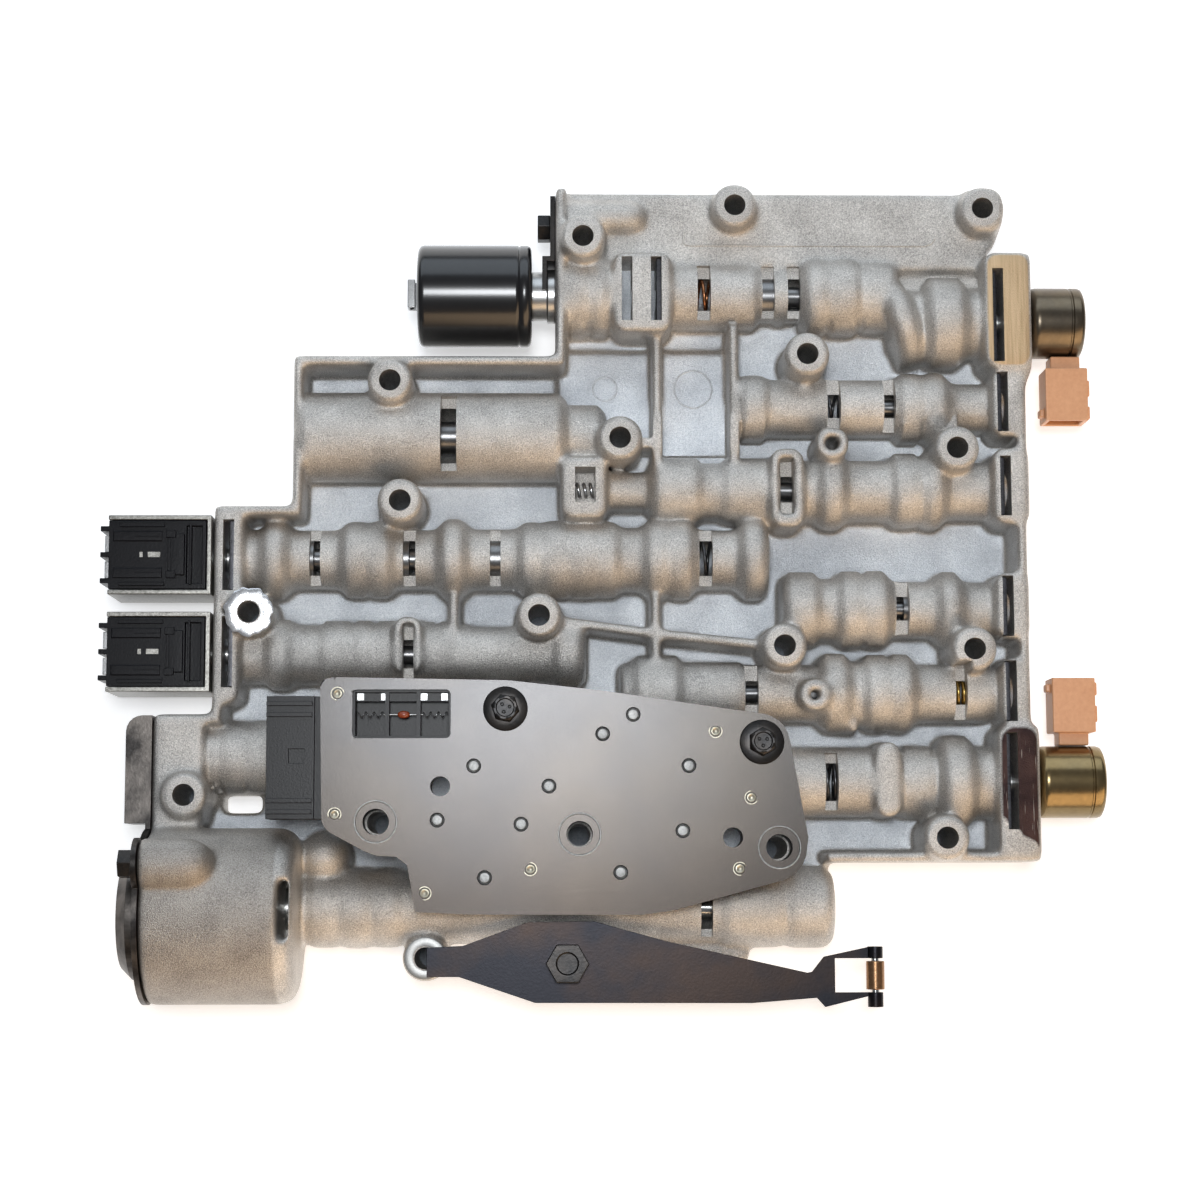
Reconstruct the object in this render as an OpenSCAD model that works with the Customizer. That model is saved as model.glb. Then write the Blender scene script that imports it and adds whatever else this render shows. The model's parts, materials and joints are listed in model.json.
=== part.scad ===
// Valve body of a four-speed automatic transmission, lying on its machined mating face.
// X runs along the valve bores, Y across them and Z up from the mating face.
// The origin is the middle case bolt's hole in the mating face.

/* [Casting] */
// Length of the casting along its bores
body_len = 280; // [260:1:300]
// Width of the casting across its bores
body_wid = 254; // [240:1:270]
// Thickness of the web that carries the rows, with the fluid channels in its back
web_t = 12; // [11:0.5:13]
// Depth of the fluid channels in the mating face
channel_d = 8.5; // [6:0.5:9]
// Width of a fluid channel
channel_w = 5.6; // [4:0.2:6.4]
// Height of the rim and of the slot walls above the mating face
rim_h = 32; // [30:0.5:34]
// Thickness of the rim and of the ribs
wall_t = 3.2; // [2.4:0.2:4]
// Height of the ribs above the mating face
rib_h = 28; // [24:0.5:30]
// Height of the flange beside the first row
flange_h = 25; // [22:0.5:27]
// Outer radius of a port lobe on a row of bores
lobe_r = 13; // [12:0.25:13.5]
// Chamfer on the edges of a lobe
lobe_edge = 2.6; // [1.5:0.1:3]
// Radius of the machined pads' corners
pad_edge = 2.4; // [1.5:0.1:3]

/* [Bores] */
// Height of the bores' axes above the mating face
bore_z = 20; // [19:0.25:21]
// Radius of the standard valve bore
bore_r = 6; // [5.5:0.1:6.4]
// Running clearance of a valve in its bore, on the radius
valve_gap = 0.04; // [0.02:0.01:0.08]
// Length of a retainer slot across a plain bore
slot_len = 19; // [18:0.5:20]
// Length of a retainer slot across a solenoid's bore
wide_slot_len = 30; // [26:0.5:30]
// Width of a retainer slot along its bore
slot_w = 3.4; // [2.6:0.1:3.8]
// Thickness of a retainer clip
clip_t = 1.6; // [1:0.1:2]
// Length of a bore plug
plug_len = 5; // [4:0.5:6]
// Height of the window ledges above the bores' axes
ledge_h = 3; // [2:0.25:3.5]

/* [Bolt holes] */
// Height of the case bolt bosses above the mating face
boss_h = 37; // [36:0.5:38]
// Outer radius of a case bolt boss
boss_r = 7.2; // [6.6:0.1:7.6]
// Radius of a case bolt hole
case_hole_r = 3.4; // [3.2:0.1:3.6]
// Height of the bosses on the flange and of the small posts
low_boss_h = 33; // [32:0.5:34]

/* [Pressure switch] */
// Thickness of the switch plate
plate_t = 1.6; // [1.2:0.1:2]
// Height of the moulded switch housing under its plate
housing_h = 9.4; // [8:0.2:10]
// Radius of the bolt holes through the switch
switch_hole_r = 4; // [3.6:0.1:4.4]
// Width of the switch's connector across the bores
connector_wid = 37; // [34:0.5:38]
// Length of the switch's connector along the bores
connector_len = 16; // [14:0.5:17]
// Height of the switch's connector
connector_h = 13; // [12:0.5:14]

/* [Pressure control solenoid] */
// Radius of the pressure control solenoid's can
epc_r = 16.2; // [15:0.1:16.6]
// Length of the pressure control solenoid's can
epc_len = 36; // [34:0.5:38]

/* [Shift solenoids] */
// Length of a shift solenoid's frame
shift_len = 32; // [30:0.5:34]
// Width of a shift solenoid's frame
shift_wid = 24.8; // [23:0.2:25]
// Height of a shift solenoid's frame
shift_h = 24; // [22:0.5:25]
// Thickness of a shift solenoid's frame
frame_t = 1.5; // [1:0.1:1.8]

/* [Clutch and downshift solenoids] */
// Radius of the two small solenoid cans
can_r = 11.3; // [10.6:0.1:11.6]
// Length of the clutch solenoid's can
clutch_len = 20.5; // [18:0.5:22]
// Length of the downshift solenoid's can
downshift_len = 17; // [15:0.5:19]
// Width of the two small connectors
plug_wid = 13.4; // [12:0.2:14]
// Length of the two small connectors
plug_reach = 21; // [18:0.5:22]

/* [Accumulator] */
// Outer radius of the accumulator's cylinder
acc_out_r = 26.9; // [26:0.1:27.2]
// Radius of the accumulator's bore
acc_bore_r = 22.5; // [21:0.25:23]
// Height of the accumulator's axis above the mating face
acc_z = 28; // [27.6:0.1:29]
// Length of the accumulator piston
piston_len = 12; // [10:0.5:14]
// Thickness of the stamped cover
cover_t = 1.6; // [1.2:0.1:2]
// Depth of the dish pressed in the cover
dish_d = 8; // [6:0.5:9]

/* [Detent] */
// Thickness of the detent spring
leaf_t = 1.3; // [1:0.1:1.6]
// Radius of the detent roller
roller_r = 2.8; // [2.5:0.1:3]
// Length of the detent roller
roller_len = 8.6; // [7.5:0.1:9]

/* [Hidden] */

// How far a cut runs past the face that it opens
cut_over = 1;
// Smoothness of round parts
round_n = 48;
small_n = 24;

function at_x(share) = share * body_len;
function at_y(share) = share * body_wid;

// Rows of bores. Each row is its place across the body, where it starts, and its steps.
// A step is where it ends along the body and its radius as a share of the lobe's.
row_a_shares = [0.4106, 0.018, [
    [0.027, 0.8], [0.055, 1], [0.058, 0.92], [0.083, 1], [0.252, 0.8], [0.268, 0.6],
    [0.281, 0.66], [0.297, 0.6], [0.327, 0.95], [0.331, 0.88], [0.364, 0.95],
    [0.368, 0.82], [0.409, 0.88]]];
row_b_shares = [0.3772, 0.4, [
    [0.425, 0.8], [0.437, 0.78], [0.486, 1.12], [0.515, 0.86]]];
row_c_shares = [0.2685, 0.223, [
    [0.259, 0.81], [0.403, 0.69], [0.433, 0.86], [0.437, 0.79], [0.466, 0.88],
    [0.515, 0.6]]];
row_d_shares = [0.2303, -0.272, [[0.031, 1.09], [0.075, 0.8]]];
row_e_shares = [0.163, 0.06, [
    [0.124, 0.46], [0.183, 0.81], [0.206, 0.68], [0.259, 0.8], [0.312, 0.75],
    [0.348, 0.97], [0.395, 0.74], [0.428, 0.92], [0.432, 0.85], [0.46, 0.97],
    [0.515, 0.7]]];
row_f_shares = [0.0764, -0.345, [
    [-0.312, 0.72], [-0.278, 0.97], [-0.224, 0.71], [-0.194, 0.93], [-0.19, 0.87],
    [-0.16, 0.94], [-0.114, 0.72], [-0.079, 1], [-0.025, 0.74], [0.001, 0.92],
    [0.004, 0.87], [0.033, 0.95], [0.036, 0.89], [0.064, 0.95], [0.067, 0.89],
    [0.091, 0.93], [0.115, 0.78], [0.144, 0.98], [0.148, 0.91], [0.177, 0.98],
    [0.223, 0.72], [0.258, 1]]];
row_g_shares = [-0.0425, -0.345, [
    [-0.305, 0.7], [-0.274, 0.85], [-0.243, 0.72], [-0.21, 0.82], [-0.207, 0.75],
    [-0.185, 0.83], [-0.182, 0.75], [-0.129, 0.82], [-0.116, 0.8], [-0.113, 0.74],
    [-0.099, 0.81], [-0.076, 0.73], [0.015, 0.68], [0.052, 0.84]]];
row_h_shares = [0.0138, 0.272, [
    [0.315, 0.91], [0.333, 0.75], [0.362, 0.93], [0.366, 0.87], [0.396, 0.94],
    [0.444, 0.68], [0.477, 0.92], [0.515, 0.67]]];
row_i_shares = [-0.0909, 0.09, [
    [0.103, 0.74], [0.13, 0.92], [0.133, 0.86], [0.16, 0.93], [0.228, 0.76],
    [0.312, 0.69], [0.349, 0.97], [0.361, 0.78], [0.39, 0.94], [0.394, 0.88],
    [0.422, 0.95], [0.515, 0.7]]];
row_j_shares = [-0.2008, 0.25, [
    [0.371, 0.84], [0.405, 0.8], [0.438, 0.88], [0.444, 0.8], [0.485, 1.14],
    [0.515, 0.86]]];
row_k_shares = [-0.1689, -0.4, [
    [-0.359, 0.8], [-0.355, 0.88], [-0.351, 0.8], [-0.325, 0.88], [-0.322, 0.82],
    [-0.294, 0.88], [-0.24, 0.8]]];
row_l_shares = [-0.3535, -0.285, [
    [-0.254, 0.84], [-0.221, 0.94], [-0.217, 0.88], [-0.185, 0.96], [-0.182, 0.88],
    [-0.152, 0.94], [0.202, 0.86], [0.27, 0.96], [0.274, 0.88], [0.327, 0.97]]];
ROWS = [row_a_shares, row_b_shares, row_c_shares, row_d_shares, row_e_shares, row_f_shares,
    row_g_shares, row_h_shares, row_i_shares, row_j_shares, row_k_shares, row_l_shares];

// Bores: row, open end, closed end, radius as a share of the standard bore's,
// where the spring meets the valve, place of the retainer slot,
// side of the spring (1 at the closed end, -1 at the open end) and its turns
bore_shares = [
    [row_a_shares, 0.01, 0.388, 1, 0.245, 0.132, -1, 8],
    [row_b_shares, 0.56, 0.41, 1.1, 0.46, 0.5175, 1, 5],
    [row_c_shares, 0.56, 0.235, 0.8, 0.346, 0.521, 1, 9],
    [row_d_shares, -0.29, 0.06, 1.55, -0.04, -0.262, 1, 6],
    [row_e_shares, 0.565, 0.155, 0.85, 0.085, 0.5225, 1, 6],
    [row_f_shares, -0.37, 0.245, 1.05, 0.165, -0.3445, 1, 7],
    [row_g_shares, -0.37, 0.04, 0.9, -0.04, -0.3445, 1, 7],
    [row_h_shares, 0.56, 0.285, 0.8, 0.35, 0.5225, 1, 7],
    [row_i_shares, 0.56, 0.105, 0.8, 0.455, 0.524, -1, 5],
    [row_j_shares, 0.56, 0.262, 1.1, 0.335, 0.5225, 1, 7],
    [row_k_shares, -0.44, -0.262, 1.05, -0.29, -0.45, 1, 0],
    [row_l_shares, 0.34, -0.288, 1.2, -0.282, 0.5, 1, 0]
];
BORE_A = bore_shares[0];
BORE_B = bore_shares[1];
BORE_C = bore_shares[2];
BORE_D = bore_shares[3];
BORE_E = bore_shares[4];
BORE_F = bore_shares[5];
BORE_G = bore_shares[6];
BORE_H = bore_shares[7];
BORE_I = bore_shares[8];
BORE_J = bore_shares[9];
BORE_K = bore_shares[10];
BORE_L = bore_shares[11];

// Windows over the bores: row, left edge and right edge
window_shares = [
    [row_a_shares, 0.179, 0.194], [row_a_shares, 0.253, 0.267], [row_a_shares, 0.282, 0.296],
    [row_c_shares, 0.325, 0.34], [row_c_shares, 0.389, 0.402],
    [row_d_shares, -0.1105, -0.0925],
    [row_e_shares, 0.27, 0.285],
    [row_f_shares, -0.256, -0.244], [row_f_shares, -0.152, -0.138],
    [row_f_shares, -0.055, -0.043], [row_f_shares, 0.179, 0.194],
    [row_g_shares, -0.151, -0.139],
    [row_h_shares, 0.399, 0.414],
    [row_i_shares, 0.229, 0.244], [row_i_shares, 0.464, 0.477],
    [row_j_shares, 0.317, 0.331],
    [row_l_shares, -0.279, -0.267], [row_l_shares, 0.178, 0.191]
];
// Slot of the first row that opens to the back
bypass_share = 0.099;
// Pilot bore of the relay valve: its left end, and the pocket that shows its spring
pilot_share = [0.036];
pilot_r = 3.1;
pocket_share = [0.04, 0.142, 0.063, 0.186];
// Half width of a window as a share of the tube that it opens, and that tube's lobe share
window_half_share = 0.68;
wide_window_share = 0.92;

// Blocks that stand to the rim's height: left, bottom, right, top
block_shares = [
    [0.083, 0.356, 0.15, 0.458],
    [0.509, 0.225, 0.548, 0.311],
    [0.509, 0.115, 0.55, 0.211],
    [0.509, -0.026, 0.547, 0.056],
    [0.513, -0.132, 0.546, -0.05],
    [0.259, 0.111, 0.297, 0.21],
    [0.024, 0.122, 0.076, 0.2],
    [-0.162, -0.07, -0.129, 0.001],
    [0.371, -0.245, 0.401, -0.153],
    [-0.361, 0.0155, -0.328, 0.1375],
    [-0.361, -0.107, -0.331, -0.002],
    [-0.425, -0.257, -0.368, -0.12],
    [0.483, 0.483, 0.526, 0.54]
];
// Taller machined pads at the two right-hand solenoids
tall_block_shares = [[0.502, 0.311, 0.556, 0.458], [0.507, -0.299, 0.554, -0.133]];
pad_rise = 1.2;

// Outer outline of the casting, clockwise from the flange's top left corner
outline_shares = [
    [0.018, 0.54], [0.482, 0.54], [0.49, 0.547], [0.522, 0.547], [0.53, 0.538],
    [0.53, 0.503], [0.52, 0.473], [0.507, 0.458], [0.556, 0.458], [0.556, 0.311],
    [0.548, 0.289], [0.548, 0.212], [0.546, 0.107], [0.546, -0.133], [0.554, -0.133],
    [0.554, -0.299], [0.326, -0.299], [0.326, -0.392], [-0.262, -0.392],
    [-0.31, -0.3], [-0.425, -0.3], [-0.425, -0.118], [-0.361, -0.118],
    [-0.361, 0.138], [-0.275, 0.138], [-0.275, 0.326], [0.018, 0.326]
];
// Where the rim gives way to the accumulator and the last row: left, bottom, right, top
rim_gap_shares = [[-0.43, -0.5, -0.25, -0.26], [-0.43, -0.5, 0.475, -0.3]];
// Flange beside the first row: left, bottom, right, top
flange_share = [0.02, 0.44, 0.5, 0.54];
flange_corner_shares = [[0.48, 0.538], [0.49, 0.547], [0.522, 0.547], [0.53, 0.538],
    [0.53, 0.503], [0.52, 0.473], [0.5, 0.452], [0.48, 0.452]];
// Lower step of the flange behind the second row: left, bottom, right, top
flange_step_share = [0.4, 0.37, 0.507, 0.445];
// Rounded ridge on the flange: its two ends and its place across the body
ridge_share = [0.02, 0.104, 0.5075];
ridge_r = 5.2;
// Bead that leans from the first row over to the second: its place along and across
// the body, its radius as a share of the lobe's, its width and its lean
lean_bead_share = [0.411, 0.3768, 1.115];
lean_bead_w = 9;
lean_bead_angle = 18.7;

// Case bolt holes through tall bosses
case_hole_shares = [
    [0, 0], [0.049, 0.472], [-0.166, 0.29], [-0.154, 0.141], [0.3, 0.324], [0.09, 0.219],
    [0.466, 0.207], [-0.319, 0.004], [0.271, -0.037], [0.481, -0.041], [-0.387, -0.217],
    [0.447, -0.27], [-0.175, -0.251], [0.044, -0.266], [0.259, -0.282]
];
// Case bolt holes through the lower bosses
low_hole_shares = [[0.221, 0.516], [0.502, 0.513]];
// Case bolt hole beside the detent spring, just below it
leaf_hole_share = [-0.124, -0.413];
leaf_boss_drop = 1.5;
// How far the detent spring lies below the tops of the tallest lobes
leaf_sink = 1;
// Small posts: place, radius as a share of the boss's and hole as a share of the case hole's
post_shares = [[0.328, 0.215, 0.75, 0.7], [0.305, -0.096, 0.72, 0.5]];
post_h = 34.5;
// Bosses under the switch's two bolts
switch_bolt_shares = [[-0.036, -0.117], [0.241, -0.157]];
switch_bolt_r = 2.5;
bolt_gap = 0.06;
bolt_reach = 14;

// Ribs: both ends of each
rib_shares = [
    [-0.095, 0.03, -0.095, -0.02], [0.13, 0.03, 0.13, -0.06], [0.02, -0.003, 0.122, -0.018],
    [0.122, -0.018, 0.262, -0.034], [0.133, 0.37, 0.133, 0.19], [0.22, 0.37, 0.22, 0.19],
    [0.3, 0.3, 0.3, 0.27], [0.466, 0.23, 0.466, 0.29],
    [0.305, -0.09, 0.275, -0.045], [0.35, -0.14, 0.35, -0.12], [-0.36, -0.005, -0.32, -0.03],
    [0.447, -0.29, 0.447, -0.26], [-0.387, -0.24, -0.387, -0.2], [0.09, 0.219, 0.133, 0.219]
];
// Raised panels of the floor: left, bottom, right, top
panel_shares = [[0.02, 0.215, 0.127, 0.345], [0.139, 0.21, 0.214, 0.345]];
panel_rise = 2.5;
// Plain cast rings on the panels: place, and radius as a share of the boss's
ring_shares = [[0.075, 0.297, 0.52], [0.176, 0.297, 0.82]];
ring_rise = 0.5;
ring_w = 0.7;

// Fluid channels in the mating face, each as two ends of its middle line
channel_shares = [
    [0.03, 0.5, 0.19, 0.5], [0.25, 0.5, 0.47, 0.5],
    [0.12, 0.445, 0.12, 0.34], [0.185, 0.345, 0.185, 0.2], [0.06, 0.345, 0.26, 0.345],
    [0.345, 0.345, 0.345, 0.24], [0.38, 0.33, 0.52, 0.33], [0.42, 0.33, 0.42, 0.23],
    [-0.24, 0.29, -0.2, 0.29], [-0.13, 0.29, 0.05, 0.29], [-0.24, 0.17, -0.19, 0.17],
    [-0.12, 0.17, 0.05, 0.17], [-0.22, 0.17, -0.22, 0.06], [-0.06, 0.17, -0.06, 0.04],
    [0.13, 0.12, 0.25, 0.12], [0.28, 0.12, 0.5, 0.12], [0.21, 0.16, 0.21, 0.04],
    [0.33, 0.16, 0.33, 0.03], [-0.33, 0.04, -0.26, 0.04], [-0.23, 0.03, -0.05, 0.03],
    [0.05, 0.03, 0.24, 0.03], [-0.17, 0.03, -0.17, -0.08], [-0.09, 0, -0.09, -0.13],
    [-0.33, -0.09, -0.21, -0.09], [-0.06, -0.05, 0.08, -0.05], [0.15, 0.02, 0.15, -0.13],
    [0.3, -0.01, 0.3, -0.12], [0.38, -0.03, 0.44, -0.03], [0.4, -0.03, 0.4, -0.15],
    [0.32, -0.145, 0.5, -0.145], [-0.01, -0.15, 0.22, -0.15], [0.09, -0.15, 0.09, -0.33],
    [0.2, -0.19, 0.2, -0.33], [-0.28, -0.12, -0.28, -0.2], [-0.25, -0.21, -0.2, -0.21],
    [-0.12, -0.2, -0.12, -0.33], [-0.06, -0.2, -0.06, -0.33], [-0.24, -0.31, -0.15, -0.31],
    [0, -0.2, 0, -0.3], [0.29, -0.24, 0.42, -0.24], [0.36, -0.24, 0.36, -0.17]
];
// Through opening beside the accumulator: left, bottom, right, top
gap_share = [-0.355, -0.236, -0.312, -0.214];

// Accumulator
acc_y_share = -0.362;
acc_left_share = -0.425;
acc_right_share = -0.262;
acc_wall = 9;
acc_edge = 5;
// Angle at which the cover's bolt boss sits on the cylinder
acc_boss_angle = 55;
acc_boss_r = 7.8;
acc_boss_rise = 0.6;
acc_boss_share = -0.372;
acc_pin_r = 3;
pin_seat = 1.2;
piston_gap = 0.08;
piston_floor = 5;
seal_r = 1.3;
acc_spring_r = 13;
acc_wire_r = 1.3;
dish_r = acc_bore_r - wall_t;
cover_low = 5;
relay_room = 8;
cover_bolt_r = 2.5;
cover_head_r = 4.6;
cover_head_h = 4.5;
low_cover_bolt_share = -0.15;
low_cover_bolt_z = 9.6;
bump_low = 15;

// Detent lug under the leaf spring: left, bottom, right, top
lug_share = [-0.01, -0.44, 0.075, -0.38];
// Cast block below the last row: left, bottom, right, top
foot_share = [0.075, -0.418, 0.2325, -0.385];
// Rounded boss under the switch's connector
bulge_share = [-0.238, -0.292];
bulge_r = 8;
bulge_h = 23;
foot_h = 24;
detent_bolt_share = [0.031, -0.419];
detent_bolt_r = 3;
detent_head_r = 6.6;
detent_head_h = 5;
leaf_shares = [
    [-0.122, -0.4], [-0.083, -0.398], [-0.012, -0.37], [0.06, -0.369], [0.139, -0.393],
    [0.293, -0.431], [0.298, -0.43], [0.311, -0.412], [0.362, -0.4], [0.362, -0.4585],
    [0.312, -0.472], [0.303, -0.461], [0.232, -0.467], [-0.004, -0.466], [-0.087, -0.435],
    [-0.122, -0.435]
];
fork_share = [0.323, -0.4545, 0.4, -0.414];
roller_x_share = 0.3672;
roller_gap = 0.08;
roller_pin_r = 1.2;
curl_t = 1.1;

// Outline of the switch, clockwise from its top left corner
switch_shares = [
    [-0.236, -0.084], [-0.224, -0.079], [-0.034, -0.083], [0.066, -0.095], [0.247, -0.124],
    [0.262, -0.132], [0.27, -0.146], [0.29, -0.27], [0.287, -0.297], [0.278, -0.311],
    [0.265, -0.32], [0.144, -0.356], [0.111, -0.361], [-0.073, -0.36], [-0.132, -0.357],
    [-0.137, -0.325], [-0.141, -0.302], [-0.153, -0.292], [-0.174, -0.291],
    [-0.188, -0.285], [-0.233, -0.258]
];
// Window of the switch: left, bottom, right, top
switch_window_share = [-0.201, -0.152, -0.095, -0.094];
window_floor = 3;
big_hole_shares = [[-0.175, -0.251], [0.044, -0.266], [0.259, -0.282]];
medium_hole_shares = [[-0.106, -0.209], [0.209, -0.27]];
medium_hole_r = 3;
big_ring_r = 6.4;
big_ring_d = 0.5;
plug_rivet_shares = [
    [-0.07, -0.185], [0.011, -0.209], [-0.109, -0.249], [-0.019, -0.254], [-0.058, -0.317],
    [0.102, -0.124], [0.069, -0.147], [0.162, -0.185], [0.155, -0.262], [0.088, -0.311]
];
small_rivet_shares = [
    [-0.217, -0.099], [-0.219, -0.242], [-0.122, -0.335], [-0.009, -0.307],
    [0.191, -0.144], [0.229, -0.223], [0.216, -0.307]
];
plug_rivet_r = 2.2;
small_rivet_r = 1.5;
rivet_rise = 0.5;
rivet_gap = 0.05;
// Seals on the switch's underside, over pressure ports of the casting
seal_shares = [
    [-0.07, -0.185], [0.011, -0.209], [0.102, -0.15], [0.162, -0.185], [0.155, -0.255]
];
seal_post_r = 5.4;
seal_port_r = 1.8;
switch_seal_r = 3.6;
switch_seal_t = 0.9;
switch_head_r = 4.4;
switch_flange_r = 6.8;
switch_flange_t = 1.4;
switch_head_h = 4;
connector_y_share = -0.1745;
connector_wall = 1.8;
connector_socket = 12;
// Ribs on the connector, and its latch recess: left, bottom, right, top
connector_rib_shares = [0.04, 0.13, 0.83, 0.92];
latch_share = [0.42, 0.45, 0.72, 0.57];
terminal_w = 2.6;
terminal_t = 0.8;
thermistor_r = 1.3;

// Pressure control solenoid
epc_neck_r = 7.8;
epc_neck = 5;
epc_flange_t = 2.5;
epc_flange_r = 8.6;
epc_tip_share = 0.055;
clip_reach = 3.4;
epc_clip_w = 9;
nose_neck_share = 0.55;
nose_gap = 0.05;
bracket_t = 1.6;
bracket_share = [0.53, 0.447];
bracket_low = 10;
bracket_bolt_share = 0.498;
bracket_head_r = 4.6;
bracket_head_h = 4;
bracket_bolt_r = 2.5;
can_edge = 2;

// Shift solenoids
shift_gap = 0.6;
shift_body_gap = 0.2;
shift_nose_r = 5;
prong_w = 1.6;
prong_len = 2.6;
coil_recess = 1.4;
cap_rise = 0.8;

// Small solenoids and connectors
plug_h = 11;
plug_wall = 1.5;
plug_neck = 4;
socket_d = 12;
clutch_plug_share = 0.598;
downshift_plug_share = 0.5985;
latch_w = 4;
latch_rise = 1.4;

// Valves: lands as shares of their length, and their stems as a share of the bore's radius
stem_share = 0.55;
long_land_shares = [[0, 0.14], [0.24, 0.36], [0.5, 0.62], [0.76, 0.84], [0.92, 1]];
mid_land_shares = [[0, 0.2], [0.4, 0.6], [0.8, 1]];
short_land_shares = [[0, 0.3], [0.62, 1]];
manual_land_shares = [
    [0, 0.06], [0.2, 0.3], [0.48, 0.54], [0.66, 0.76], [0.88, 0.93], [0.96, 1]
];
end_gap = 0.1;
shuttle_len = 28;

// Springs
wire_r = 0.55;
spring_gap = 0.35;
acc_turns = 5;
ring_steps = 9;
wire_sides = 5;

// Derived places
acc_y = at_y(acc_y_share);
acc_left = at_x(acc_left_share);
acc_right = at_x(acc_right_share);
pad_h = rim_h + pad_rise;
housing_top = boss_h + housing_h;
plate_top = housing_top + plate_t;
leaf_z = bore_z + lobe_r - leaf_sink;
wall_x = at_x(outline_shares[0][0]);

// Turns a shape that stands along Z so that it lies along X
module along_x() {
    rotate([0, 90, 0]) children();
}
// Turns a shape that stands along Z so that it lies along Y
module along_y() {
    rotate([-90, 0, 0]) children();
}
// Solid of revolution along X: points are places along X and radii
module turned(points, n = round_n) {
    along_x() rotate_extrude($fn = n) polygon([for (p = points) [p[1], p[0]]]);
}
// Box from shares of the body: left, bottom, right, top
module share_box(s, low, high) {
    translate([at_x(s[0]), at_y(s[1]), low])
        cube([at_x(s[2] - s[0]), at_y(s[3] - s[1]), high - low]);
}
// The same box with its four upright corners cut off
module cut_box(s, low, high, edge) {
    x0 = at_x(s[0]);
    y0 = at_y(s[1]);
    x1 = at_x(s[2]);
    y1 = at_y(s[3]);
    translate([0, 0, low]) linear_extrude(high - low) polygon([
        [x0 + edge, y0], [x1 - edge, y0], [x1, y0 + edge], [x1, y1 - edge],
        [x1 - edge, y1], [x0 + edge, y1], [x0, y1 - edge], [x0, y0 + edge]]);
}
function places(shares) = [for (s = shares) [at_x(s[0]), at_y(s[1])]];

// Points of one step of a row: high corners are chamfered, low ones are sharp
function step_points(start, steps, i) =
    let (
        x0 = at_x(i == 0 ? start : steps[i - 1][0]),
        x1 = at_x(steps[i][0]),
        r = steps[i][1] * lobe_r,
        left = i == 0 ? 0 : steps[i - 1][1] * lobe_r,
        right = i == len(steps) - 1 ? 0 : steps[i + 1][1] * lobe_r,
        most = (x1 - x0) * 0.35,
        c0 = r > left ? min(lobe_edge, (r - left) * 0.9, most) : 0,
        c1 = r > right ? min(lobe_edge, (r - right) * 0.9, most) : 0
    )
    concat(
        c0 > 0 ? [[x0, r - c0], [x0 + c0, r]] : [[x0, r]],
        c1 > 0 ? [[x1 - c1, r], [x1, r - c1]] : [[x1, r]]
    );
function row_points(row) = [for (i = [0:len(row[2]) - 1]) each step_points(row[1], row[2], i)];
function row_end(row) = row[2][len(row[2]) - 1][0];

// Share of the row's radius at which its flat flanks run down to the web
flank_share = 0.96;

module row_solid(row) {
    points = row_points(row);
    last = len(points) - 1;
    translate([0, at_y(row[0]), bore_z])
        turned(concat([[points[0][0], 0]], points, [[points[last][0], 0]]));
    translate([0, at_y(row[0]), web_t / 2]) linear_extrude(bore_z - web_t / 2) polygon(concat(
        [for (p = points) [p[0], p[1] * flank_share]],
        [for (i = [last:-1:0]) [points[i][0], -points[i][1] * flank_share]]));
}

// Port pockets under each lobe, open to the mating face
module row_ports(row, bore) {
    for (i = [0:len(row[2]) - 1]) {
        x0 = at_x(i == 0 ? row[1] : row[2][i - 1][0]);
        x1 = at_x(row[2][i][0]);
        if (row[2][i][1] > 0.8 && x1 - x0 > 2 * wall_t && x1 - x0 < 4 * wall_t) {
            half = radius(bore) * 0.9;
            translate([x0 + (x1 - x0 - channel_w) / 2, at_y(row[0]) - half, -cut_over])
                cube([channel_w, 2 * half, bore_z + cut_over]);
        }
    }
}

module bore_cut(b) {
    x0 = at_x(min(b[1], b[2]));
    x1 = at_x(max(b[1], b[2]));
    translate([x0, at_y(b[0][0]), bore_z]) along_x()
        cylinder(r = radius(b), h = x1 - x0, $fn = round_n);
}

// Retainer slot across a bore, down to just below it
module slot_cut(b, length, top) {
    low = bore_z - b[3] * bore_r - wall_t / 4;
    translate([at_x(b[5]) - slot_w / 2, at_y(b[0][0]) - length / 2, low])
        cube([slot_w, length, top + cut_over - low]);
}
function opens(b) = b[1] > b[2] ? 1 : -1;
function radius(b) = b[3] * bore_r;
// Outer face of the plug or of the nose's head, against the retainer, and its inner face
function plug_out(b) = at_x(b[5]) - opens(b) * slot_w / 2;
function plug_in(b) = plug_out(b) - opens(b) * plug_len;
function slot_length(b) = b == BORE_B || b == BORE_J ? wide_slot_len
    : b == BORE_F || b == BORE_G ? slot_len + wall_t
    : b == BORE_A ? slot_len + wall_t / 2 : slot_len;

module rib(s, high) {
    x0 = at_x(s[0]);
    y0 = at_y(s[1]);
    x1 = at_x(s[2]);
    y1 = at_y(s[3]);
    translate([x0, y0, web_t / 2]) rotate([0, 0, atan2(y1 - y0, x1 - x0)])
        translate([0, -wall_t / 2, 0])
            cube([norm([x1 - x0, y1 - y0]), wall_t, high - web_t / 2]);
}

module channel(s) {
    x0 = min(at_x(s[0]), at_x(s[2])) - channel_w / 2;
    x1 = max(at_x(s[0]), at_x(s[2])) + channel_w / 2;
    y0 = min(at_y(s[1]), at_y(s[3])) - channel_w / 2;
    y1 = max(at_y(s[1]), at_y(s[3])) + channel_w / 2;
    translate([x0, y0]) square([x1 - x0, y1 - y0]);
}

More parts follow.
